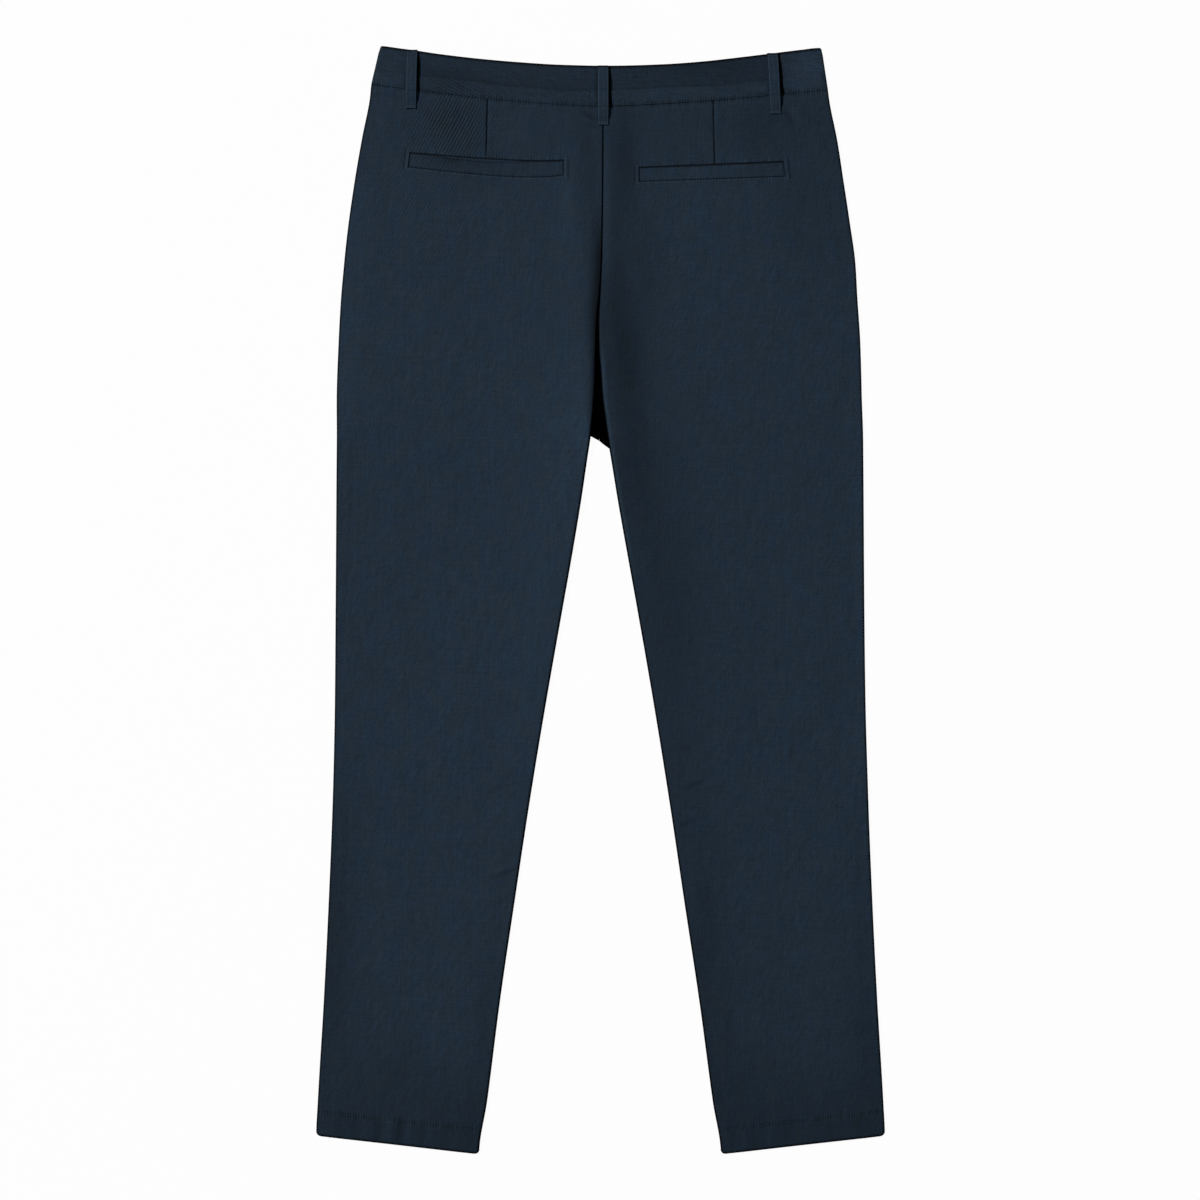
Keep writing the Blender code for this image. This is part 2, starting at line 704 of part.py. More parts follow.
def pocket_facing(side, name, finish, parent):
    """The cloth that shows beyond the slanted pocket edge, folded up to the side seam."""
    grid = []
    for level in all_levels():
        if level.y <= SLANT_END_Y:
            break
        inner = inner_u(side, level.y)
        outer_y = level_y(level, side, side_u(side, level.y), inner, side_u(side, level.y))
        outer = side_u(side, outer_y)
        slant_y = front_y(level, side, slant_u(side, level.y), inner, outer)
        start = slant_u(side, slant_y) + SEAM_GAP / 2
        crest_out = outer - FOLD_WIDTH
        row = []
        for share in (0.0, 0.5, 1.0):
            u = mix(start, crest_out, share)
            y = front_y(level, side, u, inner, outer)
            row.append((u, y, front_lift(side, u, y), WALL))
        seam = fold_seam(side, crest_out, level_y(level, side, crest_out, inner, outer))
        row += front_fold(outer, 1, row[-1][1], seam, row[-1][2])
        grid.append([(side * u, y, z, thickness) for u, y, z, thickness in row])
    grid[-1] = [(x, y + SEAM_GAP, z, thickness) for x, y, z, thickness in grid[-1]]
    return cloth(name, facing(grid, side, up=False), finish, parent)


# ------------------------------------------------------------------------------- small pieces

WELT_ROWS = (0.0, 0.5, 1.0)     # shares of the welt's depth, from the pocket's mouth down
WELT_STEPS = 8


def back_welt(side, name, finish, parent):
    """The single welt of a back pocket, lying in its recess."""
    welt = WELTS[side]
    levels = {level.place: level for level in LEVELS}
    mouth, foot = levels["pocket mouth"], levels["welt foot"]
    grid = []
    for down in WELT_ROWS:
        values = [mix(a, b, down) for a, b in zip(mouth[1:-1], foot[1:-1])]
        level = Level("welt", *values, 1)
        inner = inner_u(side, level.y)
        outer = side_u(side, level.y + level.rise_left)
        crease = crease_u(level.y)
        crest_in, crest_out = inner + FOLD_WIDTH, outer - FOLD_WIDTH
        start = mix(crest_in, crease, welt.inner_share) + 2 * WELT_EASE
        end = mix(crease, crest_out, welt.outer_share) - 2 * WELT_EASE
        row = []
        for step in range(WELT_STEPS + 1):
            u = mix(start, end, step / WELT_STEPS)
            y = level_y(level, side, u, inner, outer)
            z = back_height(side, u, y) - WELT_RECESS + SEAM_GAP + WELT_WALL
            row.append((side * u, y, z, WELT_WALL))
        grid.append(row)
    return cloth(name, facing(grid, side, up=True), finish, parent, wall=WELT_WALL)


def surface_under_loop(x, y):
    """The back's outer face where a belt loop lies: waistband above the seam, panel below."""
    side = LEFT if x < 0.0 else RIGHT
    if y > waist_y(side, x):
        return band_height(x) + BAND_RIDGE
    return back_height(side, abs(x), y)


def back_loop(loop, finish, parent):
    """A belt loop, sewn down at both ends and standing off the waistband between them."""
    side = LEFT if loop.top_x < 0.0 else RIGHT
    top = band_top_y(loop.top_x) - SEAM_GAP
    foot = waist_y(side, loop.foot_x) - LOOP_BELOW_SEAM
    grid = []
    for station in LOOP_STATIONS:
        x = mix(loop.top_x, loop.foot_x, station.along)
        y = mix(top, foot, station.along)
        base = max(surface_under_loop(x + edge * LOOP_WIDTH / 2, y) for edge in (-1, 0, 1))
        z = base + SEAM_GAP + station.standoff * LOOP_STANDOFF + LOOP_WALL
        grid.append([(x + edge * LOOP_WIDTH / 2, y, z, LOOP_WALL) for edge in (-1, 0, 1)])
    return cloth(loop.name, grid, finish, parent, wall=LOOP_WALL)


def front_loop(side, name, finish, parent):
    """A belt loop pressed flat under the front of the waistband."""
    top = band_top_y(FRONT_LOOP_U) - front_dip(side, FRONT_LOOP_U)
    foot = waist_y(side, FRONT_LOOP_U) - front_dip(side, FRONT_LOOP_U) - LOOP_BELOW_SEAM
    grid = []
    for y in (top, mix(top, foot, 0.5), foot):
        middle = side * FRONT_LOOP_U
        grid.append([(middle - edge * LOOP_WIDTH / 2, y, 0.0, FRONT_LOOP_WALL) for edge in (-1, 1)])
    return cloth(name, grid, finish, parent, wall=FRONT_LOOP_WALL)


BAND_RISE = (0.0, 0.34, 0.42, 1.0)          # rows up the waistband, as shares of its depth
BAND_RIDGE_ROWS = (0.6, 1.0, 0.0, 0.0)      # how much of the ridge each row has
BAND_TURNS = (30, 60, 90, 120, 150)         # degrees round the fold at a side
BAND_SEAM_U = 0.206                         # the side seam at the waist
BACK_BAND_SHARES = (0.93, 0.75, 0.56, 0.40, 0.27, 0.14, 0.0)
FRONT_BAND_SHARES = (0.52, 0.72, 0.90, 1.0)
FRONT_LAP_X = (LAP_END, 0.008, -0.008, -0.024, -0.045, -0.070)
UNDERLAP_X = (0.060, UNDERLAP_START, 0.034, 0.026, 0.018, 0.005, -0.012, UNDERLAP_END)


def band_under(x, lap):
    """Height of the front face: the upper lap over the button, or the lap that lies inside."""
    if lap:
        return BAND_UNDER + LAP_LIFT * (1.0 - ramp(abs(x), LAP_LIFT_START, LAP_LIFT_END))
    inside = BAND_UNDER + LAP_LIFT + BAND_WALL + SEAM_GAP
    return mix(inside, BAND_UNDER, ramp(x, LAP_END + SEAM_GAP, UNDERLAP_START))


def band_point(x, z, share, front, thickness):
    """A point of the waistband's outer face. share runs up from its seam to its top edge."""
    side = LEFT if x < 0.0 else RIGHT
    seam = waist_y(side, x) + BAND_EASE
    top = band_top_y(x)
    dip = front_dip(side, x) * front
    return (x, mix(seam, top, share) - dip, z, thickness)


def band_fold(flat, direction, share, turns):
    """The waistband's fold at a side seam, where flat is the end of its flat faces."""
    radius = (BAND_OVER - BAND_UNDER) / 2.0
    middle = (BAND_OVER + BAND_UNDER) / 2.0
    points = []
    for angle in turns:
        turn = math.radians(angle)
        x = direction * (flat + radius * math.sin(turn))
        points.append(band_point(x, middle - radius * math.cos(turn), share, 0.0, WALL))
    return points


def waistband(finish, parent):
    """One strip round the waist: lap, left front, back, right front and the lap inside."""
    radius = (BAND_OVER - BAND_UNDER) / 2.0
    top_y = SIDE_SEAM[0].y
    rows = []
    for share, ridge in zip(BAND_RISE, BAND_RIDGE_ROWS):
        raised = ridge * BAND_RIDGE
        left = mix(side_u(LEFT, waist_y(LEFT, BAND_SEAM_U)), side_u(LEFT, top_y), share) - radius
        right = mix(side_u(RIGHT, waist_y(RIGHT, BAND_SEAM_U)), side_u(RIGHT, top_y), share) - radius
        row = [band_point(x, band_under(x, True), share, 1.0, BAND_WALL) for x in FRONT_LAP_X]
        row += [band_point(-part * left, BAND_UNDER, share, 1.0, BAND_WALL)
                for part in FRONT_BAND_SHARES]
        row += band_fold(left, LEFT, share, BAND_TURNS)
        row.append(band_point(-left, BAND_OVER, share, 0.0, BAND_WALL))
        back = [-part * left for part in BACK_BAND_SHARES]
        back += [part * right for part in reversed(BACK_BAND_SHARES[:-1])]
        row += [band_point(x, band_height(x) + raised, share, 0.0, BAND_WALL) for x in back]
        row.append(band_point(right, BAND_OVER, share, 0.0, BAND_WALL))
        row += band_fold(right, RIGHT, share, reversed(BAND_TURNS))
        row += [band_point(part * right, BAND_UNDER, share, 1.0, BAND_WALL)
                for part in reversed(FRONT_BAND_SHARES)]
        row += [band_point(x, band_under(x, False), share, 1.0, BAND_WALL) for x in UNDERLAP_X]
        rows.append(row)
    rows.reverse()
    return cloth("waistband", rows, finish, parent, wall=BAND_WALL)


def on_fly(y):
    """Just above the front panels, along the fly."""
    u = FLY_OFFSET + ZIP_HALF_WIDTH
    return wall_at(back_height(RIGHT, u, y)) + front_lift(RIGHT, u, y) + SEAM_GAP


def zip_line(y):
    """Underside of the zip tape: on the front panels at its foot, on the slider at its top."""
    on_slider = on_fly(SLIDER_TOP) + SLIDER_PLATE + SEAM_GAP
    return mix(on_fly(ZIP_FOOT), on_slider, ramp(y, ZIP_FOOT + ZIP_REST, PULL_FOOT - ZIP_CLEAR))


def zip_tape(finish, parent):
    """The zip's two tapes and its closed chain, as one strip with a raised middle."""
    section = (
        (-ZIP_HALF_WIDTH, 0.0), (ZIP_HALF_WIDTH, 0.0), (ZIP_HALF_WIDTH, ZIP_TAPE),
        (ZIP_CHAIN_HALF_WIDTH, ZIP_TAPE), (ZIP_CHAIN_HALF_WIDTH, ZIP_TAPE + ZIP_CHAIN),
        (-ZIP_CHAIN_HALF_WIDTH, ZIP_TAPE + ZIP_CHAIN), (-ZIP_CHAIN_HALF_WIDTH, ZIP_TAPE),
        (-ZIP_HALF_WIDTH, ZIP_TAPE),
    )
    bm = bmesh.new()
    rings = []
    for step in range(ZIP_STEPS + 1):
        y = mix(ZIP_FOOT, ZIP_TOP, step / ZIP_STEPS)
        z = zip_line(y)
        rings.append([bm.verts.new((FLY_OFFSET + x, y, z + up)) for x, up in section])
    for ring, following in zip(rings, rings[1:]):
        for i in range(len(section)):
            j = (i + 1) % len(section)
            bm.faces.new((ring[i], ring[j], following[j], following[i]))
    bm.faces.new(list(reversed(rings[0])))
    bm.faces.new(rings[-1])
    bmesh.ops.recalc_face_normals(bm, faces=bm.faces)
    mesh = bpy.data.meshes.new("zip_tape")
    bm.to_mesh(mesh)
    bm.free()
    return put("zip_tape", mesh, finish, parent)


def zip_slider(finish, parent):
    """The slider's plate under the chain, with its pull tab turned down along the fly."""
    low = on_fly(SLIDER_TOP)
    foot_y = SLIDER_TOP - SLIDER_LENGTH
    outline = (
        (-SLIDER_WIDTH / 2, SLIDER_TOP), (-SLIDER_WIDTH / 2, foot_y), (-PULL_WIDTH / 2, foot_y),
        (-PULL_WIDTH / 2, PULL_FOOT), (PULL_WIDTH / 2, PULL_FOOT), (PULL_WIDTH / 2, foot_y),
        (SLIDER_WIDTH / 2, foot_y), (SLIDER_WIDTH / 2, SLIDER_TOP),
    )
    bm = bmesh.new()
    face = bm.faces.new([bm.verts.new((FLY_OFFSET + x, y, low)) for x, y in outline])
    up = bmesh.ops.extrude_face_region(bm, geom=[face])["geom"]
    raised = [item for item in up if isinstance(item, bmesh.types.BMVert)]
    bmesh.ops.translate(bm, verts=raised, vec=(0.0, 0.0, SLIDER_PLATE))
    bmesh.ops.recalc_face_normals(bm, faces=bm.faces)
    mesh = bpy.data.meshes.new("zip_slider")
    bm.to_mesh(mesh)
    bm.free()
    return put("zip_slider", mesh, finish, parent)


def waist_button(finish, parent):
    """A flat button with a raised rim, face down under the upper lap."""
    y = (waist_y(RIGHT, 0.0) + band_top_y(0.0)) / 2.0 - FRONT_DIP
    bm = bmesh.new()
    bmesh.ops.create_cone(
        bm, cap_ends=True, segments=BUTTON_SIDES, radius1=BUTTON_RADIUS, radius2=BUTTON_RADIUS,
        depth=BUTTON_HEIGHT)
    face = min(bm.faces, key=lambda candidate: candidate.calc_center_median().z)
    bmesh.ops.inset_region(bm, faces=[face], thickness=BUTTON_RIM)
    bmesh.ops.inset_region(bm, faces=[face], thickness=BUTTON_BEVEL, depth=-BUTTON_DISH)
    bmesh.ops.translate(bm, verts=bm.verts, vec=(0.0, 0.0, BUTTON_HEIGHT / 2.0))
    mesh = bpy.data.meshes.new("waist_button")
    bm.to_mesh(mesh)
    bm.free()
    mesh.shade_smooth()
    mesh.set_sharp_from_angle(angle=math.radians(40))
    piece = put("waist_button", mesh, finish, parent)
    piece.location = (0.0, y, 0.0)
    return piece


def build():
    for existing in list(bpy.data.objects):
        bpy.data.objects.remove(existing, do_unlink=True)
    trousers = bpy.data.objects.new("trousers", None)
    bpy.context.scene.collection.objects.link(trousers)

    twill = material("navy_twill", (0.0160, 0.0262, 0.0409), 0.85)
    tape = material("zip_tape_navy", (0.012, 0.017, 0.028), 0.8)
    metal = material("zip_metal", (0.30, 0.29, 0.27), 0.35, 1.0)
    resin = material("button_resin", (0.010, 0.013, 0.020), 0.35)

    for side, word in ((LEFT, "left"), (RIGHT, "right")):
        back_panel(side, "back_" + word, twill, trousers)
        front_panel(side, "front_" + word, twill, trousers)
        pocket_facing(side, "pocket_facing_" + word, twill, trousers)
        back_welt(side, "welt_" + word, twill, trousers)
        front_loop(side, "loop_front_" + word, twill, trousers)
    waistband(twill, trousers)
    for loop in LOOPS:
        back_loop(loop, twill, trousers)
    zip_tape(tape, trousers)
    zip_slider(metal, trousers)
    waist_button(resin, trousers)


build()
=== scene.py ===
"""Navy chino trousers, laid flat on their front with the back up: the looks of every piece.

Metres, +Z up, the waist at +Y and the hems at -Y. A place on one leg is given by u, its
distance from the middle line, and y; side is -1 on the left as seen here and +1 on the right.
"""

import math
from collections import namedtuple

import bmesh
import bpy
import numpy as np
from mathutils import Matrix, Vector
from mathutils.bvhtree import BVHTree


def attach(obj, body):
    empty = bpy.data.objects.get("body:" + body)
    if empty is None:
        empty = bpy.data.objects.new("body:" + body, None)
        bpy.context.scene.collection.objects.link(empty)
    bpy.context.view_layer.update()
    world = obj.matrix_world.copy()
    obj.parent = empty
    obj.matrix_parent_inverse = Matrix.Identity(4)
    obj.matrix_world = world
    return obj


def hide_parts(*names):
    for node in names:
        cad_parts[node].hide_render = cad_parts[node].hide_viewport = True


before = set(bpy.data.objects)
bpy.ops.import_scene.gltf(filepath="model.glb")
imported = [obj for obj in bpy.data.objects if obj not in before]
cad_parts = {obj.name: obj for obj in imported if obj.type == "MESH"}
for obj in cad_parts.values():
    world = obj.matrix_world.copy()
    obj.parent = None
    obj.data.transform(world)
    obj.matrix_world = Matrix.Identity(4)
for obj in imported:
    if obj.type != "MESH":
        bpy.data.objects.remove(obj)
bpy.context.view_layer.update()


# ---------------------------------------------------------------------------- back panels
# The two back panels are cut in navy cotton twill. The centre back seam joins them, and each
# has a dart, a pocket mouth, a turned and stitched hem, and the creases of a garment that has
# been pressed and laid down. Above the inseams they part in a deep fold, painted near black as
# shade, with a shineless copy of the twill.

LEFT, RIGHT = -1, 1
SIDES = ((LEFT, "left"), (RIGHT, "right"))
WALL, HEM_WALL = 0.0010, 0.0021
SEAM_GAP = 0.0003
FOLD_WIDTH, FOLD_LIP = 0.0030, 0.0003
SHOULDER_DROP, SHOULDER_WIDTH = 0.0008, 0.018
HEM_CORNER = 0.0045
SEAT_ROLL, SEAT_GROOVE = 0.0011, 0.0008        # the round edges of the centre back seam, its depth
SEAT_OPEN_TOP, SEAT_OPEN_FOOT = 0.302, 0.228
JOINED_FOOT = 0.1443
FORK_FLOOR, CLEFT_ROUND = 0.0030, 0.9
FRONT_DIP, FRONT_DIP_START = 0.009, 0.330
BAND_UNDER, WAIST_LIFT_FADE = 0.0015, 0.027
FLY_LIFT, FLY_LIFT_U = 0.006, 0.030
LOOP_LIFT, LOOP_LIFT_U = 0.027, 0.070


def table(columns, *rows, defaults=()):
    """Rows of numbers, each with its columns named."""
    kind = namedtuple("Row", columns, defaults=defaults)
    return tuple(kind(*row) for row in rows)


# The outline: the side seams, and how far both lean to +X together.
SIDE_SEAM = table(
    "y half_width lean", (0.5013, 0.2001, 0.0005), (0.4898, 0.2014, -0.0007), (0.4716, 0.2061, -0.001),
    (0.4535, 0.2083, -0.0008), (0.4172, 0.2156, -0.0008), (0.381, 0.2215, -0.0011),
    (0.3447, 0.2269, -0.001), (0.3084, 0.2315, -0.0005), (0.2721, 0.2342, -0.001),
    (0.2358, 0.2364, -0.0008), (0.1905, 0.2379, -0.001), (0.1451, 0.2386, -0.0003),
    (0.0, 0.2396, -0.0003), (-0.0907, 0.2405, -0.0001), (-0.1814, 0.2428, 0.0002),
    (-0.2721, 0.2464, 0.0002), (-0.3628, 0.2509, 0.0002), (-0.4535, 0.2563, 0.0002),
    (-0.4845, 0.2577, 0.0002))

# Half the gap between the legs.
INSEAM = table(
    "y half_gap", (0.256, 0.0002), (0.2449, 0.0003), (0.2358, 0.0004), (0.2231, 0.0009),
    (0.2086, 0.0017), (0.1941, 0.0024), (0.1796, 0.0035), (0.1651, 0.0053), (0.1542, 0.0067),
    (0.127, 0.0109), (0.0907, 0.0165), (0.0363, 0.0259), (0.0, 0.0324), (-0.0907, 0.0483),
    (-0.1814, 0.0631), (-0.2721, 0.0767), (-0.3628, 0.0902), (-0.4535, 0.1021), (-0.5013, 0.1093))

# The centre back seam, which carries on as the middle of the gap between the legs.
CENTRE = table(
    "y x", (0.485, 0.0026), (0.43, 0.0025), (0.317, 0.0014), (0.2812, -0.0002), (0.272, -0.001),
    (0.2595, -0.002), (0.2449, -0.0025), (0.2231, -0.0025), (0.2086, -0.002), (0.19, -0.0018),
    (0.15, -0.0012), (0.0, -0.0004), (-0.27, -0.0008), (-0.5013, -0.0003))

# The line of the back dart, which carries on as the middle line of the leg.
CREASE = table(
    "y u", (0.467, 0.1022), (0.3974, 0.1037), (0.25, 0.112), (0.145, 0.122), (0.0, 0.136),
    (-0.18, 0.153), (-0.36, 0.17), (-0.5013, 0.184))

# Height of the garment's back face along the inner edge, the middle and the side of a leg.
HEIGHTS = table(
    "y inner middle outer", (0.47, 0.007, 0.006, 0.006), (0.43, 0.007, 0.0059, 0.006),
    (0.4, 0.0066, 0.0058, 0.006), (0.33, 0.0063, 0.0054, 0.0059), (0.29, 0.0068, 0.0052, 0.0058),
    (0.25, 0.0077, 0.005, 0.0057), (0.2, 0.0086, 0.0048, 0.0057), (0.145, 0.0087, 0.0047, 0.0057),
    (0.09, 0.0082, 0.0047, 0.0057), (0.0, 0.0073, 0.0047, 0.0057), (-0.09, 0.0066, 0.0047, 0.0057),
    (-0.18, 0.0061, 0.0047, 0.0057), (-0.3, 0.0059, 0.0047, 0.0057), (-0.42, 0.0059, 0.005, 0.0058),
    (-0.475, 0.0062, 0.0056, 0.0061), (-0.502, 0.0062, 0.0056, 0.0061))

# Section lines across each leg: y at the inner edge, and how much higher the line is at the
# side. fork is the slope of the line across the end of the seat, drop lowers the right leg's
# line beside the middle, and sag lowers the left leg's line along its pocket.
LEVELS = table(
    "place y rise_left rise_right fork drop sag power",
    ("waist seam", 0.4478, 0.02, 0.0153, 0.0, 0.0, 0.0, 1.5),
    ("pocket top", 0.3983, 0.0104, 0.0087, 0.0, 0.0063, 0.0022),
    ("pocket mouth", 0.3975, 0.0104, 0.0087, 0.0, 0.0063, 0.0022),
    ("welt foot", 0.3843, 0.011, 0.0075, 0.0, 0.0054, 0.004),
    ("pocket foot", 0.3835, 0.011, 0.0075, 0.0, 0.0054, 0.004),
    ("above side pocket end", 0.307),
    ("side pocket end", 0.306),
    ("seat", 0.285),
    ("cleft top", 0.245),
    ("cleft middle", 0.195, 0.0, 0.0, 0.09),
    ("cleft foot", 0.17, 0.0, 0.0, 0.38),
    ("fork", 0.1446, 0.0, 0.0, 0.7),
    ("inseam top", 0.144, 0.0, 0.0, 0.7),
    ("below fork", 0.14, 0.0, 0.0, 0.66),
    ("upper thigh", 0.118, 0.0, 0.0, 0.25),
    ("thigh", 0.09),
    ("knee", -0.128, 0.00616, 0.00616),
    ("below knee", -0.28, 0.01045, 0.01045),
    ("above hem stitch", -0.4765, 0.016, 0.016),
    ("hem lip", -0.50115, 0.0168, 0.0168),
    ("hem edge", -0.5013, 0.0168, 0.0168),
    defaults=(0.0, 0.0, 0.0, 0.0, 0.0, 1.0))
PLACES = {level.place: number for number, level in enumerate(LEVELS)}
WAIST, HEM = LEVELS[0], LEVELS[-1]
SLANT_END_Y = 0.3066
DROP_REACH = 0.030
LINE_SPACING = 0.0032        # between the rows of the mesh
CLOSE_LINES = {"above hem stitch": 0.0014, "cleft foot": 0.0014, "below fork": 0.0014,
               "pocket mouth": 0.0008, "knee": 0.0020}
SPLIT_LINES = ("pocket top", "welt foot")

# The two ends of each welt pocket, as shares of the half leg that they lie in, and how far its
# welt hangs open below the pocket's edge, from one share of its length to another.
WELT_LEFT, WELT_RIGHT = table(
    "inner_share outer_share gap depth start end",
    (0.320, 0.6215, 0.0004, 0.0024, 0.14, 0.94), (0.308, 0.568, 0.0004, 0.0002, 0.0, 0.8))
WELTS = {LEFT: WELT_LEFT, RIGHT: WELT_RIGHT}
SAG_START, SAG_END, SAG_LEAN = 0.034, 0.172, 0.66
POCKET_DEPTH, FACING_DEPTH = 0.0011, 0.0004    # the facing shows above the welt
WELT_DEPTH = 0.0134
POCKET_EDGE = 0.0004
Lines = namedtuple("Lines", "place y rise fork drop sag power")


def mix(a, b, share):
    return a + (b - a) * share


def ramp(value, start, end):
    """0 at start, 1 at end, and a soft curve between them."""
    share = np.clip((value - start) / (end - start), 0.0, 1.0)
    return share * share * (3.0 - 2.0 * share)


def near(value, reach):
    """1 at zero, falling evenly to 0 at reach."""
    return 1.0 - np.clip(value / reach, 0.0, 1.0)


def bell(value, reach):
    return np.exp(-(value / reach) ** 2)


def within(value, low, high, edge):
    """1 between low and high, 0 outside them, with a steep side of the width edge."""
    return np.clip((value - low) / edge, 0.0, 1.0) * np.clip((high - value) / edge, 0.0, 1.0)


def read(rows, y, name):
    """A column of a table at heights y, on a smooth curve that never overshoots its rows."""
    rows = sorted(rows)
    at = np.array([row[0] for row in rows])
    value = np.array([getattr(row, name) for row in rows])
    step = np.diff(value) / np.diff(at)
    turns = step[:-1] * step[1:] <= 0.0
    slope = np.zeros(len(rows))
    both = np.where(turns, 1.0, step[:-1] + step[1:])
    slope[1:-1] = np.where(turns, 0.0, 2.0 * step[:-1] * step[1:] / both)
    y = np.clip(y, at[0], at[-1])
    i = np.clip(np.searchsorted(at, y, side="right") - 1, 0, len(at) - 2)
    span = at[i + 1] - at[i]
    t = (y - at[i]) / span
    return (value[i] * (1 + 2 * t) * (1 - t) ** 2 + value[i + 1] * t * t * (3 - 2 * t)
            + slope[i] * span * t * (1 - t) ** 2 + slope[i + 1] * span * t * t * (t - 1))


def side_u(side, y):
    return read(SIDE_SEAM, y, "half_width") + side * read(SIDE_SEAM, y, "lean")


def middle_u(side, y):
    return side * read(CENTRE, y, "x")


def inner_u(side, y):
    return middle_u(side, y) + SEAM_GAP / 2 + read(INSEAM, y, "half_gap")


def crease_u(y):
    return read(CREASE, y, "u")


def welt_opening(side, along):
    """How far a welt hangs below the pocket's edge at a share of its length."""
    welt = WELTS[side]
    return welt.gap + welt.depth * np.sin(math.pi * ramp(along, welt.start, welt.end)) ** 0.8


def openness(y):
    """0 where the legs are joined in the seat, 1 where they have parted."""
    return ramp(y, SEAT_OPEN_TOP, SEAT_OPEN_FOOT)


def back_height(side, u, y):
    """Height of the back's outer face, before its seams, darts and pockets."""
    inner, crease, outer = inner_u(side, y), crease_u(y), side_u(side, y)
    middle = read(HEIGHTS, y, "middle")
    inside = mix(read(HEIGHTS, y, "inner"), middle, ramp(u, inner, crease))
    outside = mix(middle, read(HEIGHTS, y, "outer"), ramp(u, crease, outer))
    at_side = 1.0 - ramp(outer - FOLD_WIDTH - u, 0.0, SHOULDER_WIDTH)
    at_inner = openness(y) * (1.0 - ramp(u - FOLD_WIDTH - inner, 0.0, SHOULDER_WIDTH))
    return np.where(u < crease, inside, outside) - SHOULDER_DROP * (at_side + at_inner)


WAIST_REACH = read(SIDE_SEAM, WAIST.y + WAIST.rise_left, "half_width")


def waist_y(side, u):
    """The waist seam of the back."""
    rise = WAIST.rise_left if side == LEFT else WAIST.rise_right
    return WAIST.y + rise * np.clip(np.abs(u) / WAIST_REACH, 0.0, 1.0) ** WAIST.power


def waist_seam_shade(u):
    """How much painted shade the waist seam gets: it lies flatter beyond the outer belt loops."""
    return mix(1.0, 0.3, ramp(np.abs(u), 0.166, 0.176))


def front_dip(u):
    """How far the front's waist is below the back's."""
    share = np.clip(np.abs(u) / WAIST_REACH, 0.0, 1.0)
    return FRONT_DIP * (1.0 - share * share)


def front_lift(side, u, y):
    """How far the front's outer face is off the floor: it rises to the waistband."""
    seam = waist_y(side, u) - front_dip(u)
    reach = mix(FLY_LIFT, LOOP_LIFT, ramp(u, FLY_LIFT_U, LOOP_LIFT_U))
    return BAND_UNDER * ramp(seam - y, reach + WAIST_LIFT_FADE, reach)


def fold_seam(side, crest_u, y):
    """Height of the seam on the fold at an edge, halfway between the back and the front."""
    return (back_height(side, crest_u, y) + front_lift(side, crest_u, y)) / 2.0


def section_lines(side, spacing, close_lines):
    """The section lines from the waist to the hem, with close ones below the places named."""
    found = []
    for number, (level, following) in enumerate(zip(LEVELS, LEVELS[1:])):
        close = close_lines.get(level.place, spacing)
        steps = max(1 + (level.place in SPLIT_LINES), math.ceil((level.y - following.y) / close))
        for share in np.arange(steps) / steps:
            found.append([number + share, *(mix(a, b, share) for a, b in zip(level[1:], following[1:]))])
    found.append([len(LEVELS) - 1, *HEM[1:]])
    place, y, rise_left, rise_right, fork, drop, sag, power = np.array(found).T[:, :, None]
    if side == LEFT:
        return Lines(place, y, rise_left, -fork, 0.0 * drop, sag, power)
    return Lines(place, y, rise_right, fork, drop, 0.0 * sag, power)


def line_y(lines, u, inner, outer):
    """Where the section lines are at a distance u from the middle."""
    share = np.clip((u - inner) / (outer - inner), 0.0, 1.0)
    along = np.clip((u - SAG_START) / (SAG_END - SAG_START), 0.0, 1.0)
    down = lines.fork * np.minimum(u, inner) + lines.drop * ramp(u, 0.0, DROP_REACH)
    down = down + lines.sag * np.sin(math.pi * along ** SAG_LEAN)
    return lines.y + lines.rise * share ** lines.power - down


def leg_edges(side, lines):
    """The inner edge, the middle line and the side seam of a leg on each section line."""
    down = lines.fork * inner_u(side, lines.y)
    inner = inner_u(side, lines.y - down)
    outer = side_u(side, lines.y + lines.rise - lines.drop - down)
    return inner, crease_u(lines.y), outer


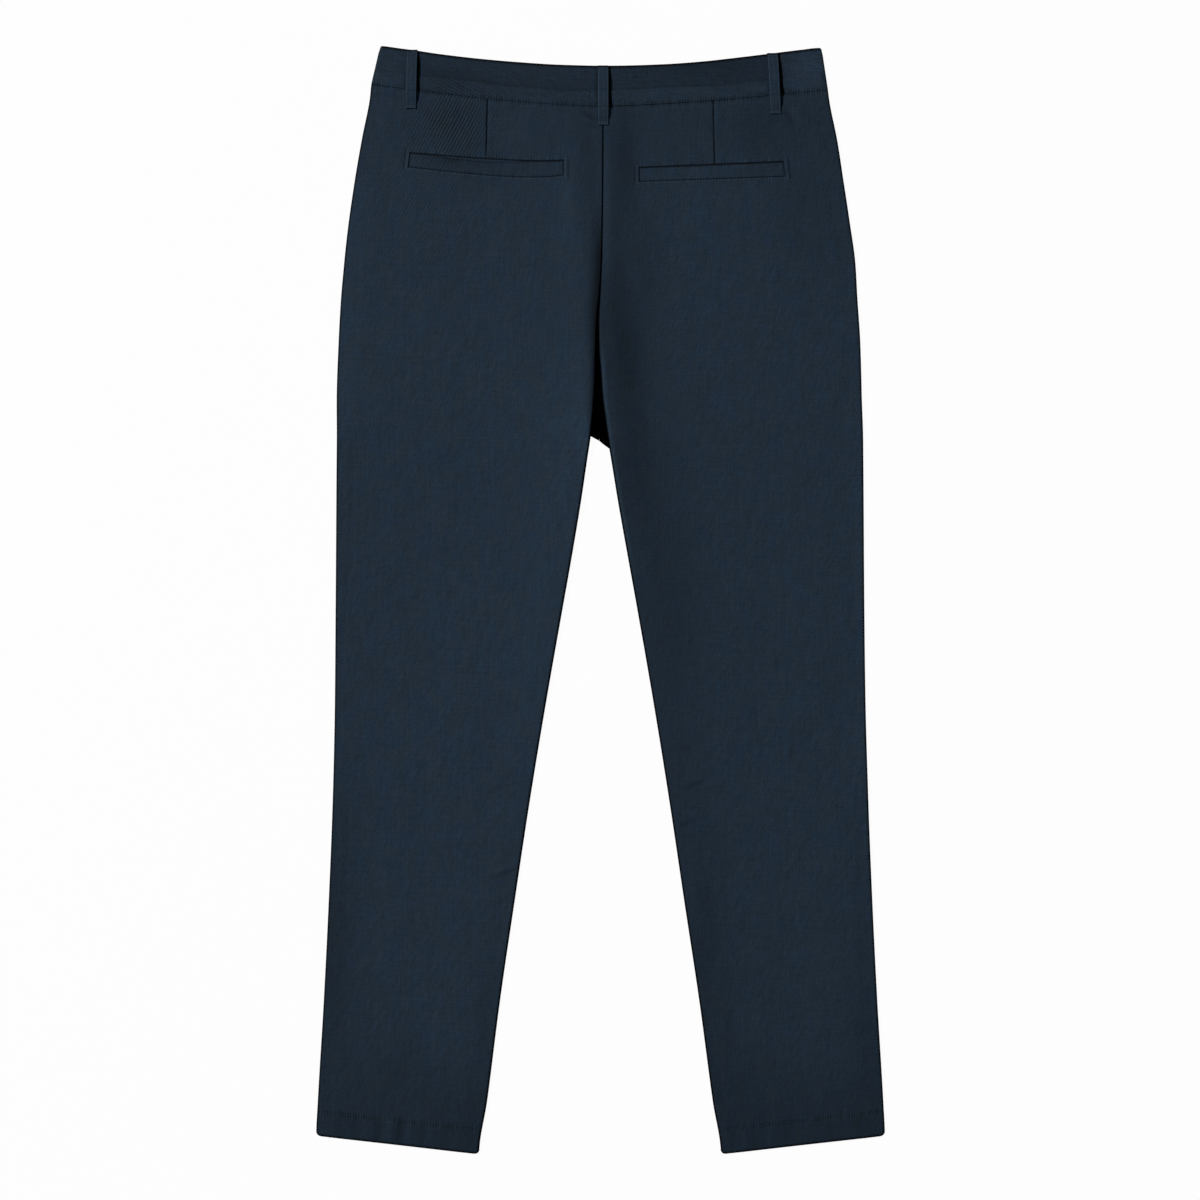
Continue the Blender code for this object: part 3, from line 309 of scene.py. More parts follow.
# Creases of the back: from one end to the other, half width, height (minus for a trough).
FOLD_COLUMNS = "x0 y0 x1 y1 width height"
BACK_FOLDS = table(
    FOLD_COLUMNS, (-0.0172, 0.4426, -0.0018, 0.4345, 0.0018, -0.0007),
    (-0.019, 0.4381, -0.0036, 0.4299, 0.0024, 0.00036),
    (-0.0154, 0.4335, -0.0027, 0.4281, 0.0018, -0.00045),
    (0.1678, 0.4444, 0.1741, 0.4308, 0.002, -0.0008), (0.1714, 0.4472, 0.1832, 0.4354, 0.0026, 0.0004),
    (-0.1551, 0.4462, -0.1478, 0.4281, 0.0024, -0.00022),
    (-0.1887, 0.4499, -0.2014, 0.4227, 0.0035, 0.00026),
    (-0.2249, 0.1478, -0.2277, 0.0499, 0.0026, -0.0004),
    (-0.2277, 0.0499, -0.2358, -0.0544, 0.0026, -0.00034),
    (-0.2304, 0.0726, -0.2331, -0.2902, 0.0045, 0.00018),
    (-0.2295, -0.1497, -0.234, -0.3719, 0.0026, -0.00014),
    (0.2268, 0.1088, 0.2304, -0.1197, 0.003, -0.00016),
    (0.2304, -0.0998, 0.2367, -0.3492, 0.0028, -0.00014),
    (0.0735, -0.1716, 0.0954, -0.1625, 0.0018, -0.00048),
    (0.0735, -0.1668, 0.0953, -0.1574, 0.0024, 0.0003),
    (0.0726, -0.2041, 0.0889, -0.1968, 0.002, -0.00038),
    (0.066, -0.1391, 0.0834, -0.1306, 0.003, -0.00034),
    (-0.101, -0.2517, -0.0752, -0.2428, 0.0018, -0.00048),
    (-0.098, -0.2458, -0.0753, -0.2376, 0.0024, 0.0003),
    (-0.1016, -0.2766, -0.0798, -0.2703, 0.0024, -0.00028),
    (-0.1034, -0.1769, -0.079, -0.1612, 0.0028, -0.00032),
    (-0.1079, -0.1995, -0.0862, -0.1868, 0.0036, 0.00016),
    (0.0935, -0.3682, 0.0989, -0.39, 0.0024, -0.00044),
    (0.1016, -0.3864, 0.1079, -0.4082, 0.003, 0.00016),
    (0.1062, -0.4417, 0.1125, -0.4571, 0.0024, -0.0004),
    (0.2413, -0.3828, 0.234, -0.3991, 0.0024, -0.00034),
    (0.244, -0.4263, 0.234, -0.4408, 0.0024, -0.00034),
    (-0.1025, -0.3864, -0.1107, -0.4154, 0.0026, -0.00016), (-0.02, 0.39, -0.04, 0.29, 0.009, 0.0003),
    (0.024, 0.42, 0.044, 0.3, 0.011, -0.0003), (-0.15, 0.36, -0.13, 0.23, 0.014, -0.00022),
    (0.15, 0.36, 0.162, 0.24, 0.015, 0.00022), (-0.165, 0.1, -0.175, -0.12, 0.013, -0.00024),
    (-0.125, 0.02, -0.14, -0.24, 0.016, 0.00024), (0.142, 0.12, 0.145, -0.12, 0.015, -0.00026),
    (0.195, 0.04, 0.2, -0.19, 0.015, 0.00024), (-0.185, -0.25, -0.195, -0.43, 0.012, 0.0002),
    (0.15, -0.23, 0.165, -0.43, 0.012, -0.0002), (-0.03, 0.17, -0.08, 0.15, 0.01, 0.00022),
    (-0.04, 0.125, -0.09, 0.118, 0.009, -0.0002), (0.03, 0.15, 0.08, 0.133, 0.01, -0.0002))

# Soft patches of painted light and shade, among them a painted falloff of the light towards
# the waist and the hems: centre, reach and amount.
PATCH_COLUMNS = "x y reach_x reach_y amount"
BACK_SHADING_PATCHES = table(
    PATCH_COLUMNS, (-0.018, 0.186, 0.008, 0.056, 0.12), (-0.031, 0.154, 0.022, 0.077, 0.06),
    (-0.027, 0.349, 0.008, 0.068, 0.08), (-0.013, 0.145, 0.006, 0.027, 0.08),
    (0.015, 0.317, 0.008, 0.077, -0.2), (0.022, 0.4, 0.012, 0.055, -0.28),
    (0.022, 0.231, 0.011, 0.054, -0.16), (0.009, 0.258, 0.015, 0.05, -0.3),
    (0.02, 0.205, 0.016, 0.052, -0.26), (0.18, 0.355, 0.026, 0.075, -0.1),
    (0.03, 0.19, 0.018, 0.09, -0.22), (-0.006, 0.317, 0.006, 0.109, -0.14),
    (-0.014, 0.405, 0.009, 0.05, -0.14), (-0.032, 0.375, 0.007, 0.032, 0.12),
    (0.006, 0.35, 0.002, 0.08, 0.16), (-0.134, 0.434, 0.027, 0.024, -0.16),
    (-0.076, 0.428, 0.015, 0.016, 0.1), (0.147, 0.43, 0.026, 0.024, -0.18),
    (0.0, 0.475, 0.5, 0.09, -0.16), (0.0, -0.48, 0.5, 0.06, -0.3), (0.042, 0.305, 0.019, 0.06, -0.14),
    (0.044, 0.1, 0.024, 0.07, -0.12), (0.062, 0.03, 0.03, 0.08, -0.06),
    (-0.122, 0.4, 0.022, 0.026, -0.1), (-0.018, 0.37, 0.012, 0.03, -0.05),
    (-0.12, -0.04, 0.08, 0.09, 0.04), (0.17, -0.4, 0.08, 0.12, -0.03),
    (0.255, -0.4, 0.02, 0.07, -0.09), (-0.17, -0.415, 0.02, 0.03, -0.07),
    (-0.105, -0.355, 0.016, 0.045, -0.09), (-0.06, 0.11, 0.03, 0.08, 0.03),
    (0.07, -0.01, 0.022, 0.09, -0.11), (0.028, 0.11, 0.016, 0.035, -0.14),
    (-0.236, -0.31, 0.018, 0.12, -0.1), (-0.2, -0.4, 0.03, 0.05, -0.06),
    (0.235, -0.37, 0.02, 0.09, -0.09), (0.095, -0.33, 0.02, 0.12, -0.08),
    (0.233, 0.05, 0.012, 0.25, 0.09), (-0.098, -0.097, 0.02, 0.018, -0.05),
    (-0.169, -0.122, 0.024, 0.024, 0.05), (-0.188, -0.421, 0.016, 0.015, -0.06),
    (-0.15, -0.404, 0.016, 0.027, 0.05), (0.229, -0.134, 0.011, 0.045, 0.07),
    (0.207, -0.082, 0.011, 0.027, -0.05), (0.12, -0.443, 0.013, 0.007, -0.08),
    (0.094, -0.317, 0.007, 0.054, -0.09), (-0.231, 0.136, 0.005, 0.109, 0.08),
    (0.082, 0.358, 0.031, 0.024, 0.05), (0.207, 0.337, 0.013, 0.042, -0.05),
    (-0.082, -0.203, 0.006, 0.015, 0.06))

# Where the ribs of the twill stand out in groups.
RIBBED = table(
    PATCH_COLUMNS, (-0.132, 0.432, 0.03, 0.03, 2.3), (-0.178, 0.37, 0.04, 0.08, 0.5),
    (-0.1, 0.34, 0.06, 0.05, 0.4), (-0.06, 0.2, 0.03, 0.06, 0.35), (0.17, 0.3, 0.04, 0.07, 0.3),
    (-0.18, 0.0, 0.04, 0.15, 0.2), (0.19, -0.2, 0.04, 0.15, 0.2))


def creases(folds, x, y):
    """The height that soft creases add at places x, y, and how much lighter they are there:
    painted light on a ridge and painted shade in a trough.
    """
    added = lighter = np.zeros(np.broadcast(x, y).shape)
    for fold in folds:
        along_x, along_y = fold.x1 - fold.x0, fold.y1 - fold.y0
        length = math.hypot(along_x, along_y)
        t = ((x - fold.x0) * along_x + (y - fold.y0) * along_y) / length ** 2
        across = ((x - fold.x0) * along_y - (y - fold.y0) * along_x) / length
        fade, shape = ramp(t, -0.15, 0.35) * ramp(t, 1.15, 0.65), bell(across, fold.width)
        added = added + fold.height * fade * shape
        lighter = lighter + fold.height / fold.width * fade * shape
    return added, lighter


def tone_of(patches, x, y):
    """How light the cloth is at places x, y, with 1 for its plain colour."""
    tone = np.ones(np.broadcast(x, y).shape)
    for patch in patches:
        away = ((x - patch.x) / patch.reach_x) ** 2 + ((y - patch.y) / patch.reach_y) ** 2
        tone = tone * (1.0 + patch.amount * np.exp(-away))
    return tone


def linked(name, data):
    """A new object of this data in the scene."""
    made = bpy.data.objects.new(name, data)
    bpy.context.scene.collection.objects.link(made)
    return made


def settle(piece, sharp=50):
    """The piece with its modifiers made part of its mesh. sharp is the least angle of the edges
    that stay sharp on its smooth faces, in degrees, or None where the modifiers smooth it."""
    graph = bpy.context.evaluated_depsgraph_get()
    mesh = bpy.data.meshes.new_from_object(piece.evaluated_get(graph))
    piece.modifiers.clear()
    piece.vertex_groups.clear()
    piece.data = mesh
    mesh.name = piece.name
    if sharp is not None:
        mesh.shade_smooth()
        mesh.set_sharp_from_angle(angle=math.radians(sharp))
    return piece


# Faces darker than this take the shineless finish, as painted shade.
SHADE_FINISH_TONE = 0.12


def cloth(name, x, y, z, thickness, finish, tone=1.0, pucker=0.0, deep=None, ribs=RIBBED):
    """A closed wall of cloth: a sheet through rows of outer points, made thick inwards.
    The rows and their points turn so that the outer face is on the left of both. tone makes
    the colour lighter or darker, mostly with painted light and shade, pucker says where
    stitches draw the cloth in, deep is a shineless finish that paints the shade of its darkest
    faces, and ribs says where the ribs of the twill stand out."""
    x, y, z, thickness, tone, pucker = np.broadcast_arrays(x, y, z, thickness, tone, pucker)
    index = np.arange(x.size).reshape(x.shape)
    faces = np.stack([index[:-1, :-1], index[1:, :-1], index[1:, 1:], index[:-1, 1:]], -1)
    mesh = bpy.data.meshes.new(name)
    mesh.from_pydata(np.stack([x, y, z], -1).reshape(-1, 3).tolist(), [], faces.reshape(-1, 4).tolist())
    for word, values in (("tone", tone), ("pucker", pucker), ("ribbed", tone_of(ribs, x, y) - 1.0)):
        attribute = mesh.attributes.new(word, "FLOAT", "POINT")
        attribute.data.foreach_set("value", values.ravel().astype(np.float32))
    mesh.materials.append(finish)
    if deep is not None:
        mesh.materials.append(deep)
        dark = tone[:-1, :-1] + tone[1:, :-1] + tone[1:, 1:] + tone[:-1, 1:] < 4.0 * SHADE_FINISH_TONE
        mesh.polygons.foreach_set("material_index", dark.ravel().astype(np.int32))
    piece = linked(name, mesh)
    group = piece.vertex_groups.new(name="wall")
    full = float(thickness.max())
    shares = np.round(thickness.ravel() / full, 2)
    for share in np.unique(shares):
        group.add(np.flatnonzero(shares == share).tolist(), float(share), "REPLACE")
    thicken = piece.modifiers.new("wall", "SOLIDIFY")
    thicken.thickness = full
    thicken.offset = -1.0
    thicken.use_even_offset = False
    thicken.vertex_group = "wall"
    return settle(piece)


def turned(side, up, *grids):
    """Grids turned so that cloth() finds the outer face: up for the back, down for the front."""
    return grids if (side == RIGHT) == up else tuple(grid[:, ::-1] for grid in grids)


# The twill: fine ribs that climb to the right, uneven yarns along the leg, and a soft mottle.
TWILL_RIB, TWILL_SLANT = 0.00062, 62.0
GROUPED_RIB = 0.0028                     # ribs that stand out together, in places
STREAK_SIZE = (760.0, 40.0, 300.0)       # yarns thicker and thinner, a millimetre wide
WEFT_SIZE = (70.0, 700.0, 300.0)
RIB_STREAK_SIZE = (560.0, 60.0, 300.0)   # along the ribs
MOTTLE_SIZE = (680.0, 560.0, 300.0)
HUE_SIZE = (110.0, 70.0, 90.0)
PUCKER_PITCH = 0.0024                    # across a row of stitches
PUCKER_SIZE = (400.0, 34.0, 60.0)
TWILL_RELIEF = 0.00006


def connect(tree, node, inputs):
    """Gives a node's inputs their values, or links them to the outputs of other nodes."""
    for name, value in inputs.items():
        value = getattr(value, "socket", value)
        if isinstance(value, bpy.types.NodeSocket):
            tree.links.new(value, node.inputs[name])
        else:
            node.inputs[name].default_value = value


def add(tree, kind, inputs=None, **settings):
    """The outputs of a new node with these settings and inputs."""
    node = tree.nodes.new(kind)
    for name, value in settings.items():
        setattr(node, name, value)
    connect(tree, node, inputs or {})
    return node.outputs


def sockets(tree, way, *listed):
    """Named inputs or outputs of a node group, with their defaults."""
    for name, kind, value in listed:
        socket = tree.interface.new_socket(name, in_out=way, socket_type="NodeSocket" + kind)
        if value is not None:
            socket.default_value = value


class Signal:
    """A number that runs through a node tree. A formula with it adds the maths nodes."""

    def __init__(self, tree, socket):
        self.tree, self.socket = tree, socket

    def maths(self, operation, a, b):
        return Signal(self.tree, add(self.tree, "ShaderNodeMath", {0: a, 1: b}, operation=operation)[0])

    def __add__(self, other):
        return self.maths("ADD", self, other)

    def __sub__(self, other):
        return self.maths("SUBTRACT", self, other)

    def __rsub__(self, other):
        return self.maths("SUBTRACT", other, self)

    def __mul__(self, other):
        return self.maths("MULTIPLY", self, other)


def weave_group():
    """A node group with the colour and the relief of the twill, read from a piece's own
    places. Turn lays its yarns across, and Pucker is where stitches draw the cloth in: there it
    adds relief and paints light and shade in bands on the colour."""
    tree = bpy.data.node_groups.new("twill_weave", "ShaderNodeTree")
    sockets(tree, "INPUT", ("Cloth colour", "Color", (0.016, 0.026, 0.041, 1.0)), ("Tone", "Float", 1.0),
            ("Yarn contrast", "Float", 1.0), ("Turn", "Float", 0.0), ("Pucker", "Float", 0.0),
            ("Ribbed", "Float", 0.0))
    sockets(tree, "OUTPUT", ("Colour", "Color", None), ("Relief", "Float", None))
    given = add(tree, "NodeGroupInput")
    place = add(tree, "ShaderNodeTexCoord")["Object"]

    def mapped(vector, name, value):
        return add(tree, "ShaderNodeMapping", {"Vector": vector, name: value})[0]

    def noise(vector, size, detail=2.0, roughness=0.5, low=0.30, high=0.70):
        """Noise from -1 to 1, with its usual range low to high drawn out."""
        fac = add(tree, "ShaderNodeTexNoise", {
            "Scale": 1.0, "Detail": detail, "Roughness": roughness,
            "Vector": mapped(vector, "Scale", size)})["Fac"]
        return Signal(tree, add(tree, "ShaderNodeMapRange", {
            "From Min": low, "From Max": high, "To Min": -1.0, "Value": fac}, clamp=True)[0])

    def bands(vector, pitch, distortion):
        return Signal(tree, add(tree, "ShaderNodeTexWave", {
            "Scale": 2.0 * math.pi / (20.0 * pitch), "Distortion": distortion, "Detail": 1.0,
            "Vector": vector}, wave_type="BANDS", bands_direction="X")["Fac"])

    cloth_place = mapped(place, "Rotation", add(tree, "ShaderNodeCombineXYZ", {"Z": given["Turn"]})[0])
    slant = mapped(cloth_place, "Rotation", (0.0, 0.0, math.radians(90.0 - TWILL_SLANT)))
    ribs = bands(slant, TWILL_RIB, 0.7)
    grouped = (bands(slant, GROUPED_RIB, 1.5) - 0.5) * given["Ribbed"]
    uneven = noise(cloth_place, STREAK_SIZE, 3.0, 0.6) * 0.105 + noise(cloth_place, WEFT_SIZE) * 0.070
    uneven = uneven + noise(slant, RIB_STREAK_SIZE) * 0.090
    uneven = uneven + noise(cloth_place, MOTTLE_SIZE, 3.0, 0.65) * 0.150 + grouped * 0.46
    uneven = uneven * given["Yarn contrast"]
    drawn = bands(place, PUCKER_PITCH, 1.4) - 0.5
    drawn = (drawn + noise(place, PUCKER_SIZE, 1.0, 0.5, 0.35, 0.65) * 0.42) * given["Pucker"]
    # Tone brings in each piece's painted light and shade, and the pucker bands paint more.
    shade = (uneven + drawn * 0.62 + 1.0) * given["Tone"] * (ribs * 0.30 + 0.85)
    # Faded in places to a browner, and in others to a bluer navy.
    hue = noise(place, HUE_SIZE, 2.0, 0.6) * 0.09 + grouped * 0.24
    tint = add(tree, "ShaderNodeCombineXYZ", {"X": hue + 1.0, "Y": 1.0, "Z": 1.0 - hue * 0.8})[0]
    tinted = add(tree, "ShaderNodeVectorMath", {0: given["Cloth colour"], 1: tint}, operation="MULTIPLY")[0]
    colour = add(tree, "ShaderNodeVectorMath", {0: tinted, "Scale": shade}, operation="SCALE")[0]
    relief = ribs + uneven * 4.0 + drawn * 6.0
    add(tree, "NodeGroupOutput", {"Colour": colour, "Relief": relief})
    return tree


TWILL_WEAVE = weave_group()


def material(name, inputs):
    """A new material, with values on its shader's own sockets."""
    made = bpy.data.materials.new(name)
    made.use_nodes = True
    shader = made.node_tree.nodes["Principled BSDF"]
    connect(made.node_tree, shader, inputs)
    return made, made.node_tree, shader


def surfaced(tree, shader, colour, height, strength, distance):
    """Leads a colour and a relief to the shader."""
    normal = add(tree, "ShaderNodeBump", {"Strength": strength, "Distance": distance, "Height": height})
    connect(tree, shader, {"Base Color": colour, "Normal": normal["Normal"]})


def twill(name, colour, yarn_contrast=1.0, turn=0.0, lit=1.0):
    """A matt cotton twill finish of one colour. turn lays the yarns across, and lit is 0 for
    a shineless copy, which paints the shade of cloth deep in a fold."""
    made, tree, shader = material(name, {
        "Roughness": 0.85, "Specular IOR Level": 0.08 * lit, "Sheen Weight": 0.04 * lit,
        "Sheen Roughness": 0.5, "Sheen Tint": (0.45, 0.65, 0.95, 1.0)})
    inputs = {"Cloth colour": (*colour, 1.0), "Yarn contrast": yarn_contrast, "Turn": turn}
    for word in ("tone", "pucker", "ribbed"):
        inputs[word.capitalize()] = add(tree, "ShaderNodeAttribute", attribute_name=word)["Fac"]
    weave = add(tree, "ShaderNodeGroup", inputs, node_tree=TWILL_WEAVE)
    surfaced(tree, shader, weave["Colour"], weave["Relief"], 0.6, TWILL_RELIEF)
    return made


CLOTH_COLOUR = (0.0125, 0.0230, 0.0374)
NAVY_TWILL = twill("navy_twill", CLOTH_COLOUR)
# A shineless copy of the twill, as painted shade for cloth deep in a fold.
NAVY_IN_SHADE = twill("navy_twill_painted_fold_shade", CLOTH_COLOUR, lit=0.0)

# The columns of a half leg: a share of its width, and a distance added to it in metres.
DART_COLUMNS = (-0.0022, -0.0013, -0.0007, -0.00035, 0.0, 0.00035, 0.0007, 0.0013, 0.0022)
DART_TIPS = {LEFT: 0.4020, RIGHT: 0.3930}
DART_DEPTH, DART_RIDGE = 0.0009, 0.00018
POCKET_LIP, POCKET_LIP_RISE, POCKET_LIP_EDGE = 0.0026, 0.00024, 0.0008
WAIST_DITCH, WAIST_DITCH_REACH = 0.00045, 0.0016
ALLOWANCE, ALLOWANCE_EDGE, ALLOWANCE_RISE = 0.0125, 0.0100, 0.00014
POCKET_COLUMNS = (-0.0034, -0.0022, -0.0012, -0.0004, 0.0, 0.0006)
COLUMN_SPACING = 0.0026
HALF_LEG = 0.100
FOLD_TURNS = (15, 30, 45, 60, 75, 90)
# Painted shade across a fold, at each of its turns: darker as it turns away from the top.
FOLD_SHADE_TONES = (0.93, 0.42, 0.09, 0.05, 0.04, 0.04)
# Painted shade where a fold turns under.
TURNED_UNDER_SHADE = 0.70            # past the dark line of a fold, where it turns under
# Painted shade on the floor of the seat seam's groove, and near black on the cleft's floor.
SEAM_FLOOR_SHADE, CLEFT_FLOOR_SHADE = 0.06, 0.01
FLOOR_SHARES = (0.0, 0.33, 0.67, 1.0)


def half_leg_columns(pocket_share, outwards, start, end):
    """Shares and offsets from one end of a half leg to the other, close round the pocket's
    end. outwards is +1 where the pocket lies before the share, and -1 where after it."""
    offsets = sorted(-outwards * offset for offset in POCKET_COLUMNS)
    before = pocket_share + (offsets[0] - COLUMN_SPACING / 2) / HALF_LEG
    after = pocket_share + (offsets[-1] + COLUMN_SPACING / 2) / HALF_LEG
    found = []
    for low, high in ((start, before), (after, end)):
        steps = math.ceil((high - low) * HALF_LEG / COLUMN_SPACING)
        found.append([(low + (high - low) * step / steps, 0.0) for step in range(steps + 1)])
    return found[0] + [(pocket_share, offset) for offset in offsets] + found[1]


def spread(columns, low, high):
    """The places of a half leg's columns, closer where it is narrow."""
    narrow = np.minimum(1.0, (high - low) / HALF_LEG)
    return np.hstack([mix(low, high, share) + offset * narrow for share, offset in columns])


HEM_DEPTH = 0.0222
# Along the hem's edge a dark line of painted shade, and past it the paler painted shade of the turned-under
# lip.
HEM_LIP = 0.00015            # past the dark line along the hem's edge
HEM_RISE, HEM_DITCH, HEM_DITCH_REACH = 0.00012, 0.00035, 0.0010
HEM_ROLL, HEM_ROLL_REACH = 0.0012, 0.0022
HEM_INNER, HEM_OUTER = ({side: edge(side, HEM.y) for side, _ in SIDES} for edge in (inner_u, side_u))
HEM_PUCKERS = {
    LEFT: table(
        "share reach height", (0.2, 0.003, -0.00016), (0.3, 0.0028, 0.00018), (0.35, 0.0026, -0.00026),
        (0.43, 0.003, 0.00028), (0.49, 0.003, -0.00034), (0.56, 0.0034, 0.0003),
        (0.62, 0.0026, -0.00024), (0.7, 0.0034, 0.00022), (0.76, 0.0026, -0.00022),
        (0.86, 0.003, -0.00012)),
    RIGHT: table(
        "share reach height", (0.07, 0.0026, -0.00022), (0.14, 0.0026, 0.0002), (0.2, 0.0026, -0.0002),
        (0.3, 0.003, 0.00014), (0.4, 0.0026, -0.00016), (0.52, 0.0032, 0.00014),
        (0.66, 0.0028, -0.00014), (0.84, 0.003, -0.00014))}


def hem_y(side, u):
    """The hem's edge at a distance u from the middle."""
    share = (u - HEM_INNER[side]) / (HEM_OUTER[side] - HEM_INNER[side])
    return HEM.y + HEM.rise_left * np.clip(share, 0.0, 1.0)


def hem_rise(edge_distance, hem_distance):
    """How much the hem's corners are rounded, near both its edge and the leg's side."""
    across = near(edge_distance, HEM_CORNER)
    return HEM_CORNER * (1.0 - np.sqrt(1.0 - (0.96 * across) ** 2)) * near(hem_distance, 1.8 * HEM_CORNER)


def hem_puckers(side, u, hem_distance):
    """Short upright puckers between the hem's stitches and its edge."""
    fade = ramp(hem_distance, HEM_DEPTH + 0.006, HEM_DEPTH - 0.003) * ramp(hem_distance, 0.0, 0.006)
    lean = 0.08 * (hem_distance - HEM_DEPTH / 2)
    added = 0.0
    for pucker in HEM_PUCKERS[side]:
        across = u - mix(HEM_INNER[side], HEM_OUTER[side], pucker.share) + lean
        added = added + pucker.height * fade * bell(across, pucker.reach)
    return added


def back_relief(side, place, u, y, ends, hem_distance, outer):
    """Height, tone and pucker that the pocket, dart, hem and creases add to the back."""
    added, lighter = creases(BACK_FOLDS, side * u, y)
    tone = tone_of(BACK_SHADING_PATCHES, side * u, y) * (1.0 + lighter)
    # The pocket's mouth, with painted shade at its edges and under the welt, and a lip round it
    # up to the row of stitches that holds it.
    start, end = ends
    top, foot = PLACES["pocket top"], PLACES["pocket foot"]
    inside = within(place, top + 0.15, foot - 0.15, 0.5) * within(u, start, end, POCKET_EDGE)
    floor_shade = mix(0.05, 1.0, within(place, top + 1.0, foot - 1.0, 0.05))
    floor_shade = np.where(place < foot - 1.0, floor_shade, 0.45)
    below_mouth = (place - top - 1.0) * WELT_DEPTH
    opening = welt_opening(side, (u - start) / (end - start))
    facing = (place > top + 0.9) * ramp(below_mouth, opening - 0.0002, opening - 0.0009)
    added -= mix(POCKET_DEPTH, FACING_DEPTH, facing) * inside
    tone *= mix(1.0, floor_shade, inside)
    lip = within(u, start - POCKET_LIP, end + POCKET_LIP, POCKET_LIP_EDGE)
    lip = lip * within(place, top - 0.045, foot + 0.020, 0.012)
    added += POCKET_LIP_RISE * lip * (1.0 - inside)
    over_mouth = ramp(place, top - 0.085, top - 0.01) * (place < top + 0.2)
    under_foot = ramp(place, foot + 0.05, foot + 0.01) * (place > foot - 0.2)
    pucker = (over_mouth + 0.6 * under_foot) * within(u, start - 0.002, end + 0.002, 0.006)
    beyond = np.maximum(start - u, u - end)
    # Round the pocket's ends, a painted dark line and, closer in, a painted highlight.
    round_it = within(place, top - 0.05, foot + 0.03, 0.02)
    tone *= 1.0 - round_it * 0.62 * bell(beyond - 0.0032, 0.0006)
    tone *= 1.0 + round_it * 0.48 * bell(beyond - 0.0016, 0.0007)
    # The dart: a crisp line where the cloth is taken in, painted dark as shade, with a painted
    # highlight along its edge on its right.
    across = u - crease_u(y)
    length = ramp(y, DART_TIPS[side] - 0.001, DART_TIPS[side] + 0.004) * (place <= top + 0.01)
    added -= length * DART_DEPTH * bell(across, 0.00055)
    added += length * DART_RIDGE * bell(across - side * 0.0020, 0.0014)
    tone *= 1.0 - length * 0.96 * bell(across, 0.00060)
    tone *= 1.0 + length * 0.14 * bell(across - side * 0.0018, 0.0008)
    # The turned hem: a stitched ditch, puckers below it, and a rolled lower edge, with painted
    # shade in the ditch, on the puckers and along the edge, and the hem itself a little darker.
    from_stitch = hem_distance - HEM_DEPTH
    in_hem = ramp(hem_distance, HEM_DEPTH, HEM_DEPTH - 0.003)
    drawn = hem_puckers(side, u, hem_distance)
    added += HEM_RISE * in_hem + drawn - HEM_DITCH * bell(from_stitch, HEM_DITCH_REACH)
    added -= HEM_ROLL * near(hem_distance, HEM_ROLL_REACH) ** 2
    pucker += bell(from_stitch, 0.0026)
    ditch_shade = 1.0 - 0.42 * bell(from_stitch, HEM_DITCH_REACH)
    tone *= ditch_shade * (1.0 + 850.0 * drawn) * (1.0 - 0.07 * in_hem)
    edge_shade = mix(0.04, 1.0, ramp(hem_distance, 0.0009, 0.0025))
    tone *= np.where(hem_distance < HEM_LIP / 2, TURNED_UNDER_SHADE, edge_shade)
    # Painted shade where each leg would turn away from the light, and painted light where it would
    # turn towards it, beside the fold and at its seams, with painted highlights on the right leg's inner
    # rim.
    from_inner, from_side = u - inner_u(side, y), outer - u
    if side == LEFT:
        beside = ramp(y, 0.365, 0.310) * ramp(y, JOINED_FOOT, 0.190)
        tone *= 1.0 - 0.78 * beside * bell(from_inner - 0.001, mix(0.0042, 0.0064, ramp(y, 0.225, 0.268)))
        thigh = ramp(y, 0.290, 0.130) * ramp(y, -0.260, -0.100)
        tone *= 1.0 + 0.14 * thigh * bell(from_inner - 0.006, 0.030)
        along = mix(0.10, 0.21, ramp(y, -0.120, -0.280)) * ramp(y, 0.190, 0.130) * ramp(y, -0.470, -0.400)
        tone *= 1.0 - along * bell(from_side, 0.022)
    else:
        along = ramp(y, 0.200, 0.130) * ramp(y, -0.480, -0.420)
        tone *= 1.0 - 0.17 * along * bell(from_inner, 0.034)
        thigh = ramp(y, 0.190, 0.110) * ramp(y, -0.250, -0.100)
        tone *= 1.0 + 0.05 * thigh * bell(from_side, 0.018)
        fork_rim = ramp(y, 0.240, 0.205) * ramp(y, 0.000, 0.080)
        tone *= 1.0 + 0.60 * fork_rim * bell(from_inner - 0.0026, 0.0012)
        tone *= 1.0 + 0.50 * ramp(y, 0.300, 0.330) * bell(from_inner - 0.0019, 0.0007)
    # The seam allowance pressed open under the cloth, along the side seam.
    added += ALLOWANCE_RISE * ramp(from_side, ALLOWANCE, ALLOWANCE_EDGE)
    # The seam that holds the waistband draws the cloth in along its edge, with painted shade in
    # its ditch and a painted highlight just below.
    below_waist = waist_y(side, u) - y
    added -= WAIST_DITCH * bell(below_waist, WAIST_DITCH_REACH)
    tone *= 1.0 - waist_seam_shade(u) * 0.22 * bell(below_waist, 0.0017)
    tone *= 1.0 + 0.08 * bell(below_waist - 0.0036, 0.0010)
    return added, tone, pucker + bell(below_waist - 0.0005, 0.0020)


def stacked(profile, shape):
    """The columns of an edge's profile, each of the same few numbers, side by side."""
    return [np.hstack([np.broadcast_to(part, shape) for part in parts]) for parts in zip(*profile)]


